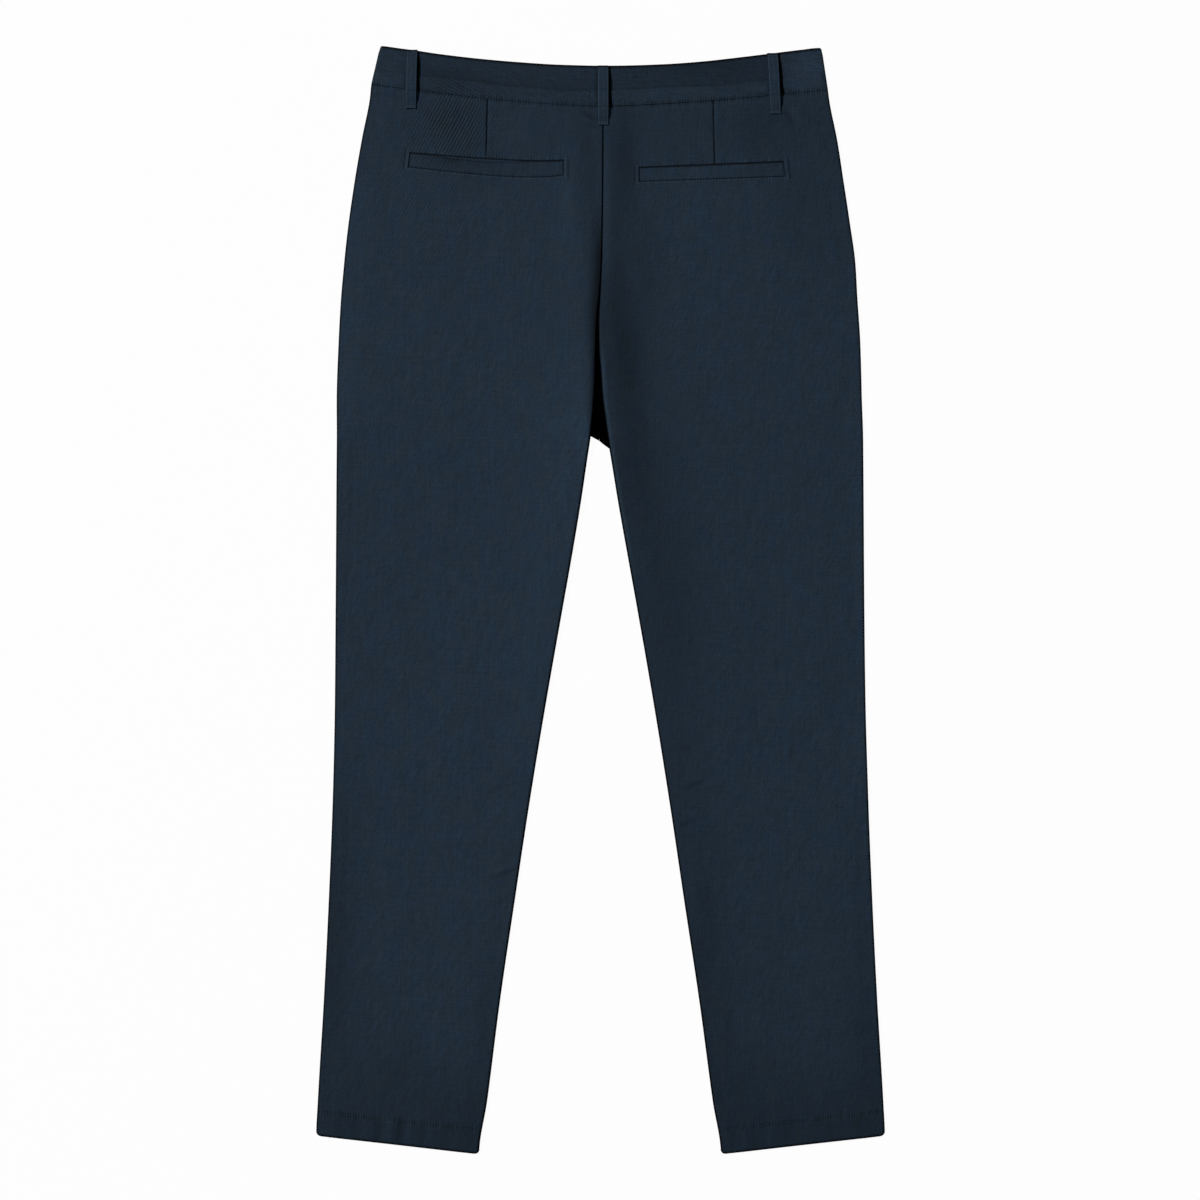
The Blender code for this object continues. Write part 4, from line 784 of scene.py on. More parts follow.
def back_inner_edge(side, lines, inner, roll, first_y, first_z, first_tone):
    """The groove of the seat seam, the cleft, and under the fork the fold at the inseam, with
    painted shade on each: near black in the cleft, dark along the fold's turn, paler where it
    turns under.
    """
    joined = lines.y > JOINED_FOOT
    opened = openness(lines.y)
    floor = mix(first_z - SEAT_GROOVE, FORK_FLOOR, opened)
    seam = fold_seam(side, inner + roll, first_y) + SEAM_GAP / 2
    deep = np.minimum((first_z - floor) * CLEFT_ROUND, first_z / 2)
    drop = np.where(joined, deep, first_z - seam - FOLD_LIP)
    middle = middle_u(side, lines.y) + SEAM_GAP / 2
    floor_shade = mix(SEAM_FLOOR_SHADE, CLEFT_FLOOR_SHADE, ramp(opened, 0.0, 0.25))
    floor_shade = np.where(joined, floor_shade, TURNED_UNDER_SHADE)
    profile = []
    for share in FLOOR_SHARES:
        z = np.where(joined, floor, seam + 0.5 * share * FOLD_LIP)
        profile.append((np.where(joined, mix(middle, inner, share), inner), z, floor_shade))
    for angle, shade in zip(reversed(FOLD_TURNS), reversed(FOLD_SHADE_TONES)):
        turn = math.radians(angle)
        leg_shade = TURNED_UNDER_SHADE if angle == FOLD_TURNS[-1] else shade
        wall_shade = np.where(joined, shade ** mix(0.5, 1.2, opened), leg_shade)
        z = first_z - drop * (1.0 - math.cos(turn))
        profile.append((inner + roll * (1.0 - math.sin(turn)), z, wall_shade * first_tone))
    return stacked(profile, first_y.shape)


def back_outer_edge(side, crest_out, outer, last_y, last_z, last_tone):
    """The fold at the side seam, with painted shade: dark along its turn, paler where it turns under."""
    seam = (last_z + front_lift(side, crest_out, last_y)) / 2 + SEAM_GAP / 2
    drop = last_z - seam - FOLD_LIP
    width = np.minimum(FOLD_WIDTH, drop)
    profile = []
    for angle, shade in zip(FOLD_TURNS, FOLD_SHADE_TONES[:-1] + (TURNED_UNDER_SHADE,)):
        turn = math.radians(angle)
        out = crest_out + (FOLD_WIDTH - width) * min(1.0, angle / 45) + width * math.sin(turn)
        profile.append((out, last_z - drop * (1.0 - math.cos(turn)), shade * last_tone))
    profile.append((outer, seam, TURNED_UNDER_SHADE * last_tone))
    return stacked(profile, last_y.shape)


def hem_wall(side, u, y):
    """Two layers of cloth in the hem."""
    return mix(WALL, HEM_WALL, ramp(y - hem_y(side, u), HEM_DEPTH + 0.001, HEM_DEPTH - 0.001))


def back_grid(side):
    """Places, thickness, tone and pucker over a whole back panel."""
    lines = section_lines(side, LINE_SPACING, CLOSE_LINES)
    inner, crease, outer = leg_edges(side, lines)
    roll = np.where(lines.y > JOINED_FOOT, mix(SEAT_ROLL, FOLD_WIDTH, openness(lines.y)), FOLD_WIDTH)
    crest_in, crest_out = inner + roll, outer - FOLD_WIDTH
    welt = WELTS[side]
    u = np.hstack([
        spread(half_leg_columns(welt.inner_share, -1, 0.0, 0.96), crest_in, crease),
        crease + np.array(DART_COLUMNS)[None, :],
        spread(half_leg_columns(welt.outer_share, 1, 0.04, 1.0), crease, crest_out)])
    y = line_y(lines, u, inner, outer)
    ends = mix(crest_in, crease, welt.inner_share), mix(crease, crest_out, welt.outer_share)
    added, tone, pucker = back_relief(side, lines.place, u, y, ends, y - hem_y(side, u), outer)
    z = back_height(side, u, y) + added
    first = back_inner_edge(side, lines, inner, roll, y[:, :1], z[:, :1], tone[:, :1])
    last = back_outer_edge(side, crest_out, outer, y[:, -1:], z[:, -1:], tone[:, -1:])
    pucker = np.pad(pucker, ((0, 0), (first[0].shape[1], last[0].shape[1])))
    u, z, tone = (np.hstack(parts) for parts in zip(first, (u, z, tone), last))
    y = line_y(lines, u, inner, outer)
    y = y + hem_rise(np.minimum(u - inner, outer - u), y - hem_y(side, u))
    return side * u, y, z, hem_wall(side, u, y), tone, pucker


BACK_PANELS = {}
for side, word in SIDES:
    x, y, z, wall, tone, pucker = turned(side, True, *back_grid(side))
    panel = cloth("back_panel_" + word, x, y, z, wall, NAVY_TWILL, tone, pucker, NAVY_IN_SHADE)
    BACK_PANELS[side] = panel
    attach(panel, "root")
    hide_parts("back_" + word)
    "front_" + word


# ---------------------------------------------------------------------- back pocket welts
# Each back pocket closes with a single welt: a folded strip of twill that fills the mouth from
# below. The left one sags a little from the top edge, and the pocket's facing shows above it.

WELT_WALL, WELT_LENGTH = 0.0010, 0.140
WELT_SINK = 0.00015          # how far the welt's face lies below the panel's
WELT_EASE = 0.0007           # at the welt's ends
WELT_TONES = {LEFT: 0.93, RIGHT: 1.02}
WELT_SHARES = (0.0, 0.02, 0.05, 0.10, 0.20, 0.35, 0.50, 0.65, 0.80, 0.90, 0.95, 0.98, 1.0)
WELT_STEPS = 90
WELT_ROLL, WELT_ROLL_REACH = 0.00045, 0.0009
WELT_DITCH, WELT_DITCH_REACH = 0.00025, 0.0007
# Patches of painted shade on the welts.
WELT_SHADING_PATCHES = table(
    PATCH_COLUMNS, (-0.136, 0.401, 0.013, 0.005, -0.38), (-0.106, 0.399, 0.014, 0.004, -0.18),
    (-0.16, 0.402, 0.008, 0.004, -0.12), (0.14, 0.39, 0.02, 0.006, -0.1))
WELT_FOLDS = table(
    FOLD_COLUMNS, (-0.156, 0.393, -0.15, 0.386, 0.002, -0.00012),
    (-0.13, 0.395, -0.112, 0.393, 0.0016, 0.00012), (-0.08, 0.392, -0.06, 0.3905, 0.002, -0.0001),
    (0.07, 0.39, 0.076, 0.383, 0.0022, -0.0001), (0.13, 0.395, 0.148, 0.396, 0.0016, -0.00012))


def pocket_line(side, place, share):
    """u and y along one of the pocket's section lines, share from its inner to its outer end."""
    level = LEVELS[PLACES[place]]
    rise, drop, sag = level.rise_left, 0.0, level.sag
    if side == RIGHT:
        rise, drop, sag = level.rise_right, level.drop, 0.0
    inner, outer = inner_u(side, level.y), side_u(side, level.y + rise - drop)
    crease = crease_u(level.y)
    start = mix(inner + SEAT_ROLL, crease, WELTS[side].inner_share)
    end = mix(crease, outer - FOLD_WIDTH, WELTS[side].outer_share)
    u = mix(start, end, share)
    return u, line_y(Lines(0.0, level.y, rise, 0.0, drop, sag, level.power), u, inner, outer)


WELT_PIECES = {}
along = np.linspace(0.0, 1.0, WELT_STEPS + 1)[None, :]
depth = np.array(WELT_SHARES)[:, None]
for side, word in SIDES:
    mouth_u, mouth_y = pocket_line(side, "pocket mouth", along)
    foot_u, foot_y = pocket_line(side, "welt foot", along)
    u = mix(mouth_u, foot_u, depth) + WELT_EASE * (1.0 - 2.0 * along)
    y = mix(mouth_y - welt_opening(side, along), foot_y + 0.0002, depth)
    added, lighter = creases(WELT_FOLDS, side * u, y)
    above_foot = (1.0 - depth) * WELT_DEPTH
    edge = np.minimum(depth * WELT_DEPTH, np.minimum(along, 1.0 - along) * WELT_LENGTH)
    z = back_height(side, u, y) - WELT_SINK + added
    in_ditch = bell(above_foot, WELT_DITCH_REACH)
    z = z - WELT_ROLL * near(edge, WELT_ROLL_REACH) ** 2 - WELT_DITCH * in_ditch
    tone = tone_of(BACK_SHADING_PATCHES + WELT_SHADING_PATCHES, side * u, y) * (1.0 + lighter)
    # Painted shade along the welt's edges and in the ditch at its foot.
    tone *= mix(0.25, WELT_TONES[side], ramp(edge, 0.0001, 0.0010))
    tone *= 1.0 - 0.25 * in_ditch
    pucker = 0.6 * bell(above_foot, 0.0018) + 0.0 * along
    x, y, z, tone, pucker = turned(side, True, side * u, y, z, tone, pucker)
    welt = cloth("welt_cloth_" + word, x, y, z, WELT_WALL, NAVY_TWILL, tone, pucker)
    WELT_PIECES[side] = welt
    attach(welt, "root")
    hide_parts("welt_" + word)
    "back_" + word


# ------------------------------------------------------------------------------ waistband
# One strip of twill round the waist, sewn on along its lower edge. Its ends lap at the front
# over the button. The seam allowances inside raise its lower part, with a soft line above.

BAND_WALL, BAND_EASE, BAND_OVER = 0.0012, 0.0002, 0.0063
BAND_SWELL, BAND_SWELL_START, BAND_SWELL_END = 0.0012, 0.018, 0.096
BAND_RIDGE, BAND_SEAM_DITCH = 0.0004, 0.00050
BAND_LINE_DITCH, BAND_LINE_REACH = 0.00022, 0.035
BAND_ROLL, BAND_ROLL_START = 0.00070, 0.955
BAND_TOP = table(
    "x y", (-0.1995, 0.5027), (-0.195, 0.5023), (-0.1814, 0.5004), (-0.1705, 0.499), (-0.145, 0.4952),
    (-0.109, 0.491), (-0.0726, 0.4878), (-0.036, 0.4854), (0.002, 0.4845), (0.018, 0.4846),
    (0.0544, 0.4858), (0.0907, 0.4884), (0.127, 0.4924), (0.158, 0.4962), (0.1814, 0.4991),
    (0.1995, 0.5009))
BAND_SEAM_U, BAND_CORNER = 0.206, 0.0030
FRONT_WAIST_DROP = 0.0012            # how far the front's waist seam lies below the back's edge
LAP_END, LAP_LIFT, LAP_LIFT_START, LAP_LIFT_END = 0.018, 0.0006, 0.024, 0.050
UNDERLAP_START, UNDERLAP_END = 0.045, -0.028
LEFT_JOIN, RIGHT_JOIN = (-0.070, -0.074), (0.064, 0.060)     # from the plain front to its laps
LAP_STEPS, UNDERLAP_STEPS, PLAIN_STEPS = 24, 26, 30
BAND_SHARES = (
    0.0, 0.02, 0.05, 0.10, 0.16, 0.22, 0.27, 0.31, 0.335, 0.36, 0.385, 0.41, 0.46, 0.54, 0.62, 0.70,
    0.78, 0.85, 0.91, 0.95, 0.975, 0.99, 0.997, 1.0)
BAND_LINE = 0.365                    # the soft line, as a share of the band's depth
BAND_COLUMN = 0.0030
BAND_BACK_REACH = 0.189              # the back's even columns end here, each way
BAND_END_COLUMNS = 5                 # beyond them
# The close columns carry the painted shadow beside each loop.
LOOP_SHADE, LOOP_COLUMN = (-0.0010, 0.0061), 0.0007          # close columns beside a belt loop
LOOP_CLEAR = (-0.0016, 0.0066)       # and no even ones here
BAND_FOLDS = table(
    FOLD_COLUMNS, (-0.153, 0.487, -0.11, 0.481, 0.003, 0.00016),
    (-0.08, 0.478, -0.03, 0.4745, 0.004, -0.00016), (0.02, 0.47, 0.09, 0.473, 0.0036, 0.00014),
    (0.1, 0.479, 0.145, 0.485, 0.0032, -0.00016), (0.162, 0.478, 0.168, 0.47, 0.002, -0.00018),
    (-0.19, 0.486, -0.176, 0.485, 0.0026, -0.00016))
# Patches of painted light and shade on the band.
BAND_SHADING_PATCHES = table(
    PATCH_COLUMNS, (0.0, 0.475, 0.5, 0.2, -0.2), (0.188, 0.483, 0.018, 0.018, 0.46),
    (0.075, 0.459, 0.075, 0.01, 0.14), (-0.135, 0.47, 0.028, 0.02, -0.16),
    (0.118, 0.485, 0.03, 0.012, -0.1), (-0.192, 0.483, 0.016, 0.018, 0.16),
    (0.085, 0.487, 0.065, 0.015, -0.2), (-0.08, 0.487, 0.08, 0.006, -0.06))
NAVY_TWILL_ACROSS = twill("navy_twill_across", CLOTH_COLOUR, yarn_contrast=1.4, turn=math.pi / 2)

# The back belt loops: x at the top edge of the waistband, and at the loop's foot.
LOOPS = table("name top_x foot_x", ("back_left", -0.1702, -0.1716),
              ("back_centre", 0.0026, 0.0026), ("back_right", 0.1558, 0.1588))
LOOP_WIDTH = 0.0100


def band_top_y(x):
    return read(BAND_TOP, x, "y")


def band_height(x):
    """Height of the waistband's back face."""
    return BAND_OVER + BAND_SWELL * (1.0 - ramp(np.abs(x), BAND_SWELL_START, BAND_SWELL_END))


def band_under(x, lap):
    """Height of the front face: the upper lap over the button, or the lap that lies inside."""
    if lap:
        return BAND_UNDER + LAP_LIFT * (1.0 - ramp(np.abs(x), LAP_LIFT_START, LAP_LIFT_END))
    inside = BAND_UNDER + LAP_LIFT + BAND_WALL + SEAM_GAP
    return mix(inside, BAND_UNDER, ramp(x, LAP_END + SEAM_GAP, UNDERLAP_START))


def waist_y_at(x):
    """The waist seam of the back, on both sides of the middle."""
    return np.where(x < 0.0, waist_y(LEFT, np.abs(x)), waist_y(RIGHT, np.abs(x)))


def band_relief(x, share):
    """Height, tone and pucker that the seam, the soft line and the top edge give the band. Its tone
    is painted light and shade: from patches and creases, at all three, and beside the belt loops.
    """
    y = mix(waist_y_at(x), band_top_y(x), share)
    line = BAND_LINE + 0.022 * np.sin(38.0 * x) + 0.010 * np.sin(97.0 * x + 1.0)
    lower = ramp(share, line + 0.045, line - 0.035) * ramp(share, 0.0, 0.12)
    top_edge = np.clip((share - BAND_ROLL_START) / 0.045, 0.0, 1.0)
    added = BAND_RIDGE * lower - BAND_LINE_DITCH * bell(share - line - BAND_LINE_REACH, BAND_LINE_REACH)
    added = added - BAND_SEAM_DITCH * bell(share, 0.030) - BAND_ROLL * top_edge ** 2
    creased, lighter = creases(BAND_FOLDS, x, y)
    tone = tone_of(BAND_SHADING_PATCHES, x, y) * (1.0 + lighter)
    # Painted shade along the soft line and above it, a little painted light below it, painted shade at the
    # seam, and a dark painted rim along the top edge.
    shown = ramp(x, 0.170, 0.158) * mix(0.4, 1.0, ramp(x, -0.186, -0.166))
    above = ramp(share, line + 0.42, line + 0.03) * ramp(share, line - 0.01, line + 0.03)
    tone *= 1.0 - shown * (0.16 * bell(share - line - 0.03, 0.026) + 0.13 * above)
    tone *= 1.0 + 0.05 * ramp(share, line + 0.01, line - 0.04)
    tone *= 1.0 - 0.28 * waist_seam_shade(x) * ramp(share, 0.07, 0.0)
    tone *= TURNED_UNDER_SHADE if share == 1.0 else mix(1.0, 0.05, ramp(share, 0.930, 0.965))
    # A belt loop stands off the band. Its shadow is painted on the strip on its right, and a
    # painted dark line runs along its left edge.
    for loop in LOOPS:
        edge = mix(loop.foot_x, loop.top_x, share) + LOOP_WIDTH / 2
        wide = mix(0.0034, 0.0019, ramp(share, 0.0, 0.35))
        tone *= 1.0 - 0.95 * ramp(x - edge, wide + 0.0004, wide - 0.0004) * (x > edge - 0.0012)
        tone *= 1.0 - 0.45 * bell(x - edge + LOOP_WIDTH + 0.0003, 0.0006)
    return added + creased, tone, ramp(share, 0.125, 0.02)


def band_back_columns(ends):
    """Places across the back of the band, close beside the belt loops' right edges, where their
    painted shadows lie.
    """
    places = list(np.arange(-BAND_BACK_REACH, BAND_BACK_REACH, BAND_COLUMN))
    for loop in LOOPS:
        edge = (loop.top_x + loop.foot_x) / 2 + LOOP_WIDTH / 2
        places = [place for place in places if not LOOP_CLEAR[0] < place - edge < LOOP_CLEAR[1]]
        places += list(edge + np.arange(*LOOP_SHADE, LOOP_COLUMN))
    places = np.array(sorted(places))
    left = np.linspace(-ends[LEFT], places[0], BAND_END_COLUMNS)[:-1]
    right = np.linspace(places[-1], ends[RIGHT], BAND_END_COLUMNS)[1:]
    return np.concatenate([left, places, right])


def band_row(share):
    """Points all round the band, from the end of the upper lap over the left front, the back
    and the right front to the end of the lap inside: x, y, z, tone and pucker."""
    radius, middle = (BAND_OVER - BAND_UNDER) / 2.0, (BAND_OVER + BAND_UNDER) / 2.0
    ends = {}
    for side in (LEFT, RIGHT):
        foot = side_u(side, waist_y(side, BAND_SEAM_U))
        ends[side] = mix(foot, side_u(side, SIDE_SEAM[0].y), share) - radius
    lap = np.linspace(LAP_END, LEFT_JOIN[0], LAP_STEPS)
    under = np.linspace(RIGHT_JOIN[1], UNDERLAP_END, UNDERLAP_STEPS)
    turns = np.radians(np.arange(12, 180, 12))
    # The band's rounded ends get painted shade: near black at the side, paler where they turn under.
    edge_shade = mix(1.0, np.where(turns < math.pi / 2, TURNED_UNDER_SHADE, 0.04), np.sin(turns) ** 2)
    out, up = radius * np.sin(turns), middle - radius * np.cos(turns)
    back = band_back_columns(ends)
    added, tone, pucker = band_relief(back, share)
    runs = (                         # x, z, 1 where it is the front, tone and pucker
        (lap, band_under(lap, True), 1.0, 1.0, 0.0),
        (np.linspace(LEFT_JOIN[1], -ends[LEFT], PLAIN_STEPS), BAND_UNDER, 1.0, 1.0, 0.0),
        (-(ends[LEFT] + out), up, 0.0, edge_shade, 0.0),
        (back, band_height(back) + added, 0.0, tone, pucker),
        (ends[RIGHT] + out[::-1], up[::-1], 0.0, edge_shade[::-1], 0.0),
        (np.linspace(ends[RIGHT], RIGHT_JOIN[0], PLAIN_STEPS), BAND_UNDER, 1.0, 1.0, 0.0),
        (under, band_under(under, False), 1.0, 1.0, 0.0))
    runs = [np.broadcast_arrays(*run) for run in runs]
    x, z, front, tone, pucker = (np.concatenate(part) for part in zip(*runs))
    y = mix(waist_y_at(x) + BAND_EASE, band_top_y(x), share) - front_dip(x) * front
    y = y - FRONT_WAIST_DROP * front * (1.0 - share)
    from_end = np.where(x < 0.0, ends[LEFT] + radius + x, ends[RIGHT] + radius - x)
    rounded = 1.0 - np.sqrt(1.0 - (0.96 * near(from_end, BAND_CORNER)) ** 2)
    return x, y - BAND_CORNER * rounded * ramp(share, 0.80, 1.0), z, tone, pucker


rows = [band_row(share) for share in reversed(BAND_SHARES)]
x, y, z, tone, pucker = (np.array(part) for part in zip(*rows))
waistband = cloth(
    "waistband_cloth", x, y, z, BAND_WALL, NAVY_TWILL_ACROSS, tone, pucker, NAVY_IN_SHADE)
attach(waistband, "root")
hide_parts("waistband")


# ----------------------------------------------------------------------------- belt loops
# Narrow folded strips of twill with a row of stitches along each edge. Both ends of a loop are
# turned under and bar-tacked, and between them it stands off the band. Two lie under the front.

LOOP_WALL, FRONT_LOOP_WALL = 0.0014, 0.0012
LOOP_STANDOFF, LOOP_BELOW_SEAM = 0.0027, 0.0172
LOOP_ROWS = 56
LOOP_SHARES = (0.0, 0.03, 0.08, 0.15, 0.20, 0.28, 0.40, 0.50, 0.60, 0.72, 0.80, 0.85, 0.92, 0.97, 1.0)
LOOP_STITCH_SHARE = 0.13             # the rows of stitches, from each edge
LOOP_ROLL, LOOP_DITCH = 0.00060, 0.00016
LOOP_TOP_TACK, LOOP_FOOT_TACK = 0.045, 0.955                 # the tacks, as shares of its length
LOOP_TOP_DITCH, LOOP_FOOT_DITCH = 0.00030, 0.00035
FRONT_LOOP_U = 0.098
LOOP_STATIONS = table(
    "along standoff", (0.0, 0.0), (0.05, 0.0), (0.15, 0.75), (0.3, 1.0), (0.55, 1.0), (0.72, 0.9),
    (0.84, 0.5), (0.92, 0.0), (1.0, 0.0))


def loop_section(across, along):
    """Height and tone over a loop's face: rolled edges, a ditch along each row of stitches,
    and at both ends the step of the turned end. The tone is painted shade on the rolled edges,
    at the tacks and at both ends, with a painted highlight inside each edge and along the foot."""
    edge = np.minimum(across, 1.0 - across)
    added = -LOOP_ROLL * near(edge, 0.085) ** 2 - LOOP_DITCH * bell(edge - LOOP_STITCH_SHARE, 0.045)
    added = added - LOOP_TOP_DITCH * bell(along - LOOP_TOP_TACK, 0.010)
    added = added - LOOP_FOOT_DITCH * bell(along - LOOP_FOOT_TACK, 0.012)
    tone = mix(0.20, 1.0, ramp(edge, 0.0, 0.06)) * (1.0 + 0.65 * bell(edge - 0.10, 0.045))
    tone = tone * (1.0 - 0.18 * bell(edge - 0.24, 0.07))
    tone = tone * (1.0 - 0.30 * bell(along - LOOP_TOP_TACK, 0.012))
    tone *= 1.0 - 0.35 * bell(along - 0.935, 0.012)
    tone *= 1.0 + 0.35 * bell(along - 0.975, 0.010)
    tone *= mix(0.25, 1.0, ramp(along, 1.0, 0.985))
    tone *= mix(0.06, 1.0, ramp(along, 0.010, 0.040))
    return added, tone


def under_loop(side, x, y):
    """The outer face that a loop lies on: waistband above the seam, panel below."""
    return np.where(y > waist_y(side, x), band_height(x) + BAND_RIDGE, back_height(side, np.abs(x), y))


BACK_LOOPS, FRONT_LOOPS = [], []
across = np.array(LOOP_SHARES)[None, :]
along = np.linspace(0.0, 1.0, LOOP_ROWS + 1)[:, None]
for loop in LOOPS:
    side = LEFT if loop.top_x < 0.0 else RIGHT
    top, foot = band_top_y(loop.top_x) - SEAM_GAP, waist_y(side, loop.foot_x) - LOOP_BELOW_SEAM
    x = mix(loop.top_x, loop.foot_x, along) + (across - 0.5) * LOOP_WIDTH
    y = mix(top, foot, along) + 0.0 * across
    added, tone = loop_section(across, along)
    standoff = LOOP_STANDOFF * read(LOOP_STATIONS, along, "standoff")
    base = under_loop(side, x, y).max(axis=1, keepdims=True)
    z = base + SEAM_GAP + standoff + LOOP_WALL + added
    if loop.name == "back_centre":
        tone *= 1.0 - 0.30 * bell(along - 0.40, 0.012)
    piece = cloth("belt_loop_" + loop.name, x, y, z, LOOP_WALL, NAVY_TWILL, tone)
    BACK_LOOPS.append(piece)
    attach(piece, "root")
    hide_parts("loop_" + loop.name)

along = np.linspace(0.0, 1.0, LOOP_ROWS // 2 + 1)[:, None]
for side, word in SIDES:
    top = band_top_y(FRONT_LOOP_U) - front_dip(FRONT_LOOP_U)
    foot = waist_y(side, FRONT_LOOP_U) - front_dip(FRONT_LOOP_U) - LOOP_BELOW_SEAM
    added, tone = loop_section(across, along)
    x = side * FRONT_LOOP_U - (across - 0.5) * LOOP_WIDTH
    piece = cloth("belt_loop_front_" + word, x, mix(top, foot, along), -added, FRONT_LOOP_WALL,
                  NAVY_TWILL, tone)
    FRONT_LOOPS.append(piece)
    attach(piece, "root")
    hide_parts("loop_front_" + word)


# ----------------------------------------------------------------- fronts and side pockets
# The two front panels lie flat underneath, with the fly edges lapped in the middle. Each is cut
# away along a slanted side pocket, where a facing shows and folds up to the side seam.

FLY_STEP_TOP, FLY_STEP_FOOT, FLY_OFFSET = 0.325, 0.305, 0.006
FLY_STITCH_U = 0.030
FRONT_SEAM_SHIFT = 0.0016            # the front seam is this far from the back's, in the seat
SLANT_TOP_U, SLANT_TOP_Y = 0.150, 0.460
SLANT_STITCH = 0.0065                # from the slanted edge to its row of stitches
SLANT_COLUMN = 0.0004
FRONT_SPACING = 0.0060               # between the lines of the mesh, and between its columns
FRONT_CLOSE_LINES = {"above hem stitch": 0.0024, "cleft foot": 0.003, "below fork": 0.003}
FRONT_EDGE_COLUMNS = len(FOLD_TURNS) + 1
# Painted shade across the front's folds, at each of their turns.
FRONT_FOLD_SHADE_TONES = (1.0, 0.97, 0.92, 0.86, 0.79, 0.72)
CORNER_WALL = 0.0004                 # where a flat edge turns into a fold
FRONT_DITCH, FRONT_DITCH_REACH = 0.00024, 0.0022
FRONT_HEM_DITCH, FRONT_HEM_REACH = 0.00030, 0.0018
FRONT_ROLL, FRONT_ROLL_REACH = 0.0010, 0.0024
FACING_COLUMNS = 13
FRONT_FOLDS = table(
    FOLD_COLUMNS, (-0.04, 0.23, -0.07, 0.175, 0.005, 0.0003),
    (-0.03, 0.19, -0.09, 0.15, 0.007, 0.00034), (0.035, 0.22, 0.08, 0.16, 0.006, 0.0003),
    (0.025, 0.185, 0.07, 0.14, 0.005, 0.00026), (-0.14, -0.05, -0.19, -0.075, 0.006, 0.00026),
    (-0.08, -0.1, -0.13, -0.115, 0.0055, 0.00028), (0.09, -0.08, 0.145, -0.105, 0.006, 0.00028),
    (0.15, -0.04, 0.2, -0.06, 0.005, 0.00022), (-0.15, 0.38, -0.135, 0.27, 0.012, 0.0003),
    (0.14, 0.37, 0.155, 0.26, 0.013, 0.0003), (-0.165, -0.26, -0.18, -0.42, 0.011, 0.00028),
    (0.16, -0.24, 0.185, -0.43, 0.012, 0.00028), (-0.11, -0.39, -0.125, -0.43, 0.004, 0.00022),
    (0.115, -0.36, 0.125, -0.41, 0.0045, 0.00024))
FRONT_PATCHES = table(
    PATCH_COLUMNS, (-0.06, 0.2, 0.05, 0.06, -0.06), (0.06, 0.2, 0.05, 0.06, 0.05),
    (-0.15, -0.08, 0.05, 0.06, 0.05), (0.15, -0.08, 0.05, 0.06, -0.05))
FRONT_RIBBED = table(
    PATCH_COLUMNS, (-0.15, 0.3, 0.06, 0.09, 0.3), (0.17, -0.1, 0.05, 0.15, 0.2))


def fly_u(side, y):
    """The front edge at the middle: lapped off it in the fly, on the seam below."""
    below = middle_u(side, y) + side * FRONT_SEAM_SHIFT * ramp(y, JOINED_FOOT, JOINED_FOOT + 0.010)
    return mix(below, side * FLY_OFFSET, ramp(y, FLY_STEP_FOOT, FLY_STEP_TOP))


def slant_u(side, y):
    """The slanted edge of the side pocket."""
    end = side_u(side, SLANT_END_Y) - FOLD_WIDTH - SEAM_GAP
    return mix(end, SLANT_TOP_U, (y - SLANT_END_Y) / (SLANT_TOP_Y - SLANT_END_Y))


def front_y(lines, u, inner, outer):
    """A section line of the front, which dips more than the back's towards the waist."""
    dip = front_dip(u) * ramp(lines.y, FRONT_DIP_START, WAIST.y)
    return line_y(lines, u, inner, outer) - dip - FRONT_WAIST_DROP * ramp(lines.y, 0.440, WAIST.y)


def front_fold(edge, direction, seam, lift):
    """The fold at an edge of the front, from its flat part out and up to the seam, painted a
    little darker towards the seam as shade.
    """
    drop = seam - SEAM_GAP / 2 - FOLD_LIP - lift
    width = np.minimum(FOLD_WIDTH, drop)
    profile = []
    for angle, shade in zip(FOLD_TURNS, FRONT_FOLD_SHADE_TONES):
        turn = math.radians(angle)
        inset = width * (1.0 - math.sin(turn)) + (FOLD_WIDTH - width) * (1.0 - min(1.0, angle / 45))
        profile.append((edge - direction * inset, lift + drop * (1.0 - math.cos(turn)), shade))
    profile.append((edge, seam - SEAM_GAP / 2, FRONT_FOLD_SHADE_TONES[-1]))
    return profile


def front_relief(side, u, y, hem_distance):
    """Height, tone and pucker of the front's creases and stitched lines. The face is turned
    down, so all of it is drawn in from the flat. Its tone adds the creases' painted light and
    shade, and painted shade along the hem's stitches."""
    added, lighter = creases(FRONT_FOLDS, side * u, y)
    tone = tone_of(FRONT_PATCHES, side * u, y) * (1.0 - lighter)
    from_stitch = hem_distance - HEM_DEPTH
    added = added + FRONT_HEM_DITCH * bell(from_stitch, FRONT_HEM_REACH)
    added += FRONT_ROLL * near(hem_distance, FRONT_ROLL_REACH) ** 2
    on_slant = ramp(y, SLANT_END_Y - 0.004, SLANT_END_Y + 0.004)
    added += FRONT_DITCH * bell(u - slant_u(side, y) + SLANT_STITCH, FRONT_DITCH_REACH) * on_slant
    if side == LEFT:
        added += FRONT_DITCH * bell(u - FLY_STITCH_U, FRONT_DITCH_REACH) * ramp(y, 0.335, 0.345)
    return added, tone * (1.0 - 0.2 * bell(from_stitch, 0.0014)), 0.8 * bell(from_stitch, 0.0030)


def either(where, profile, other):
    """A column of an edge: one profile's where something is so, and the other's elsewhere."""
    return [np.where(where, a, b) for a, b in zip(profile, other)]


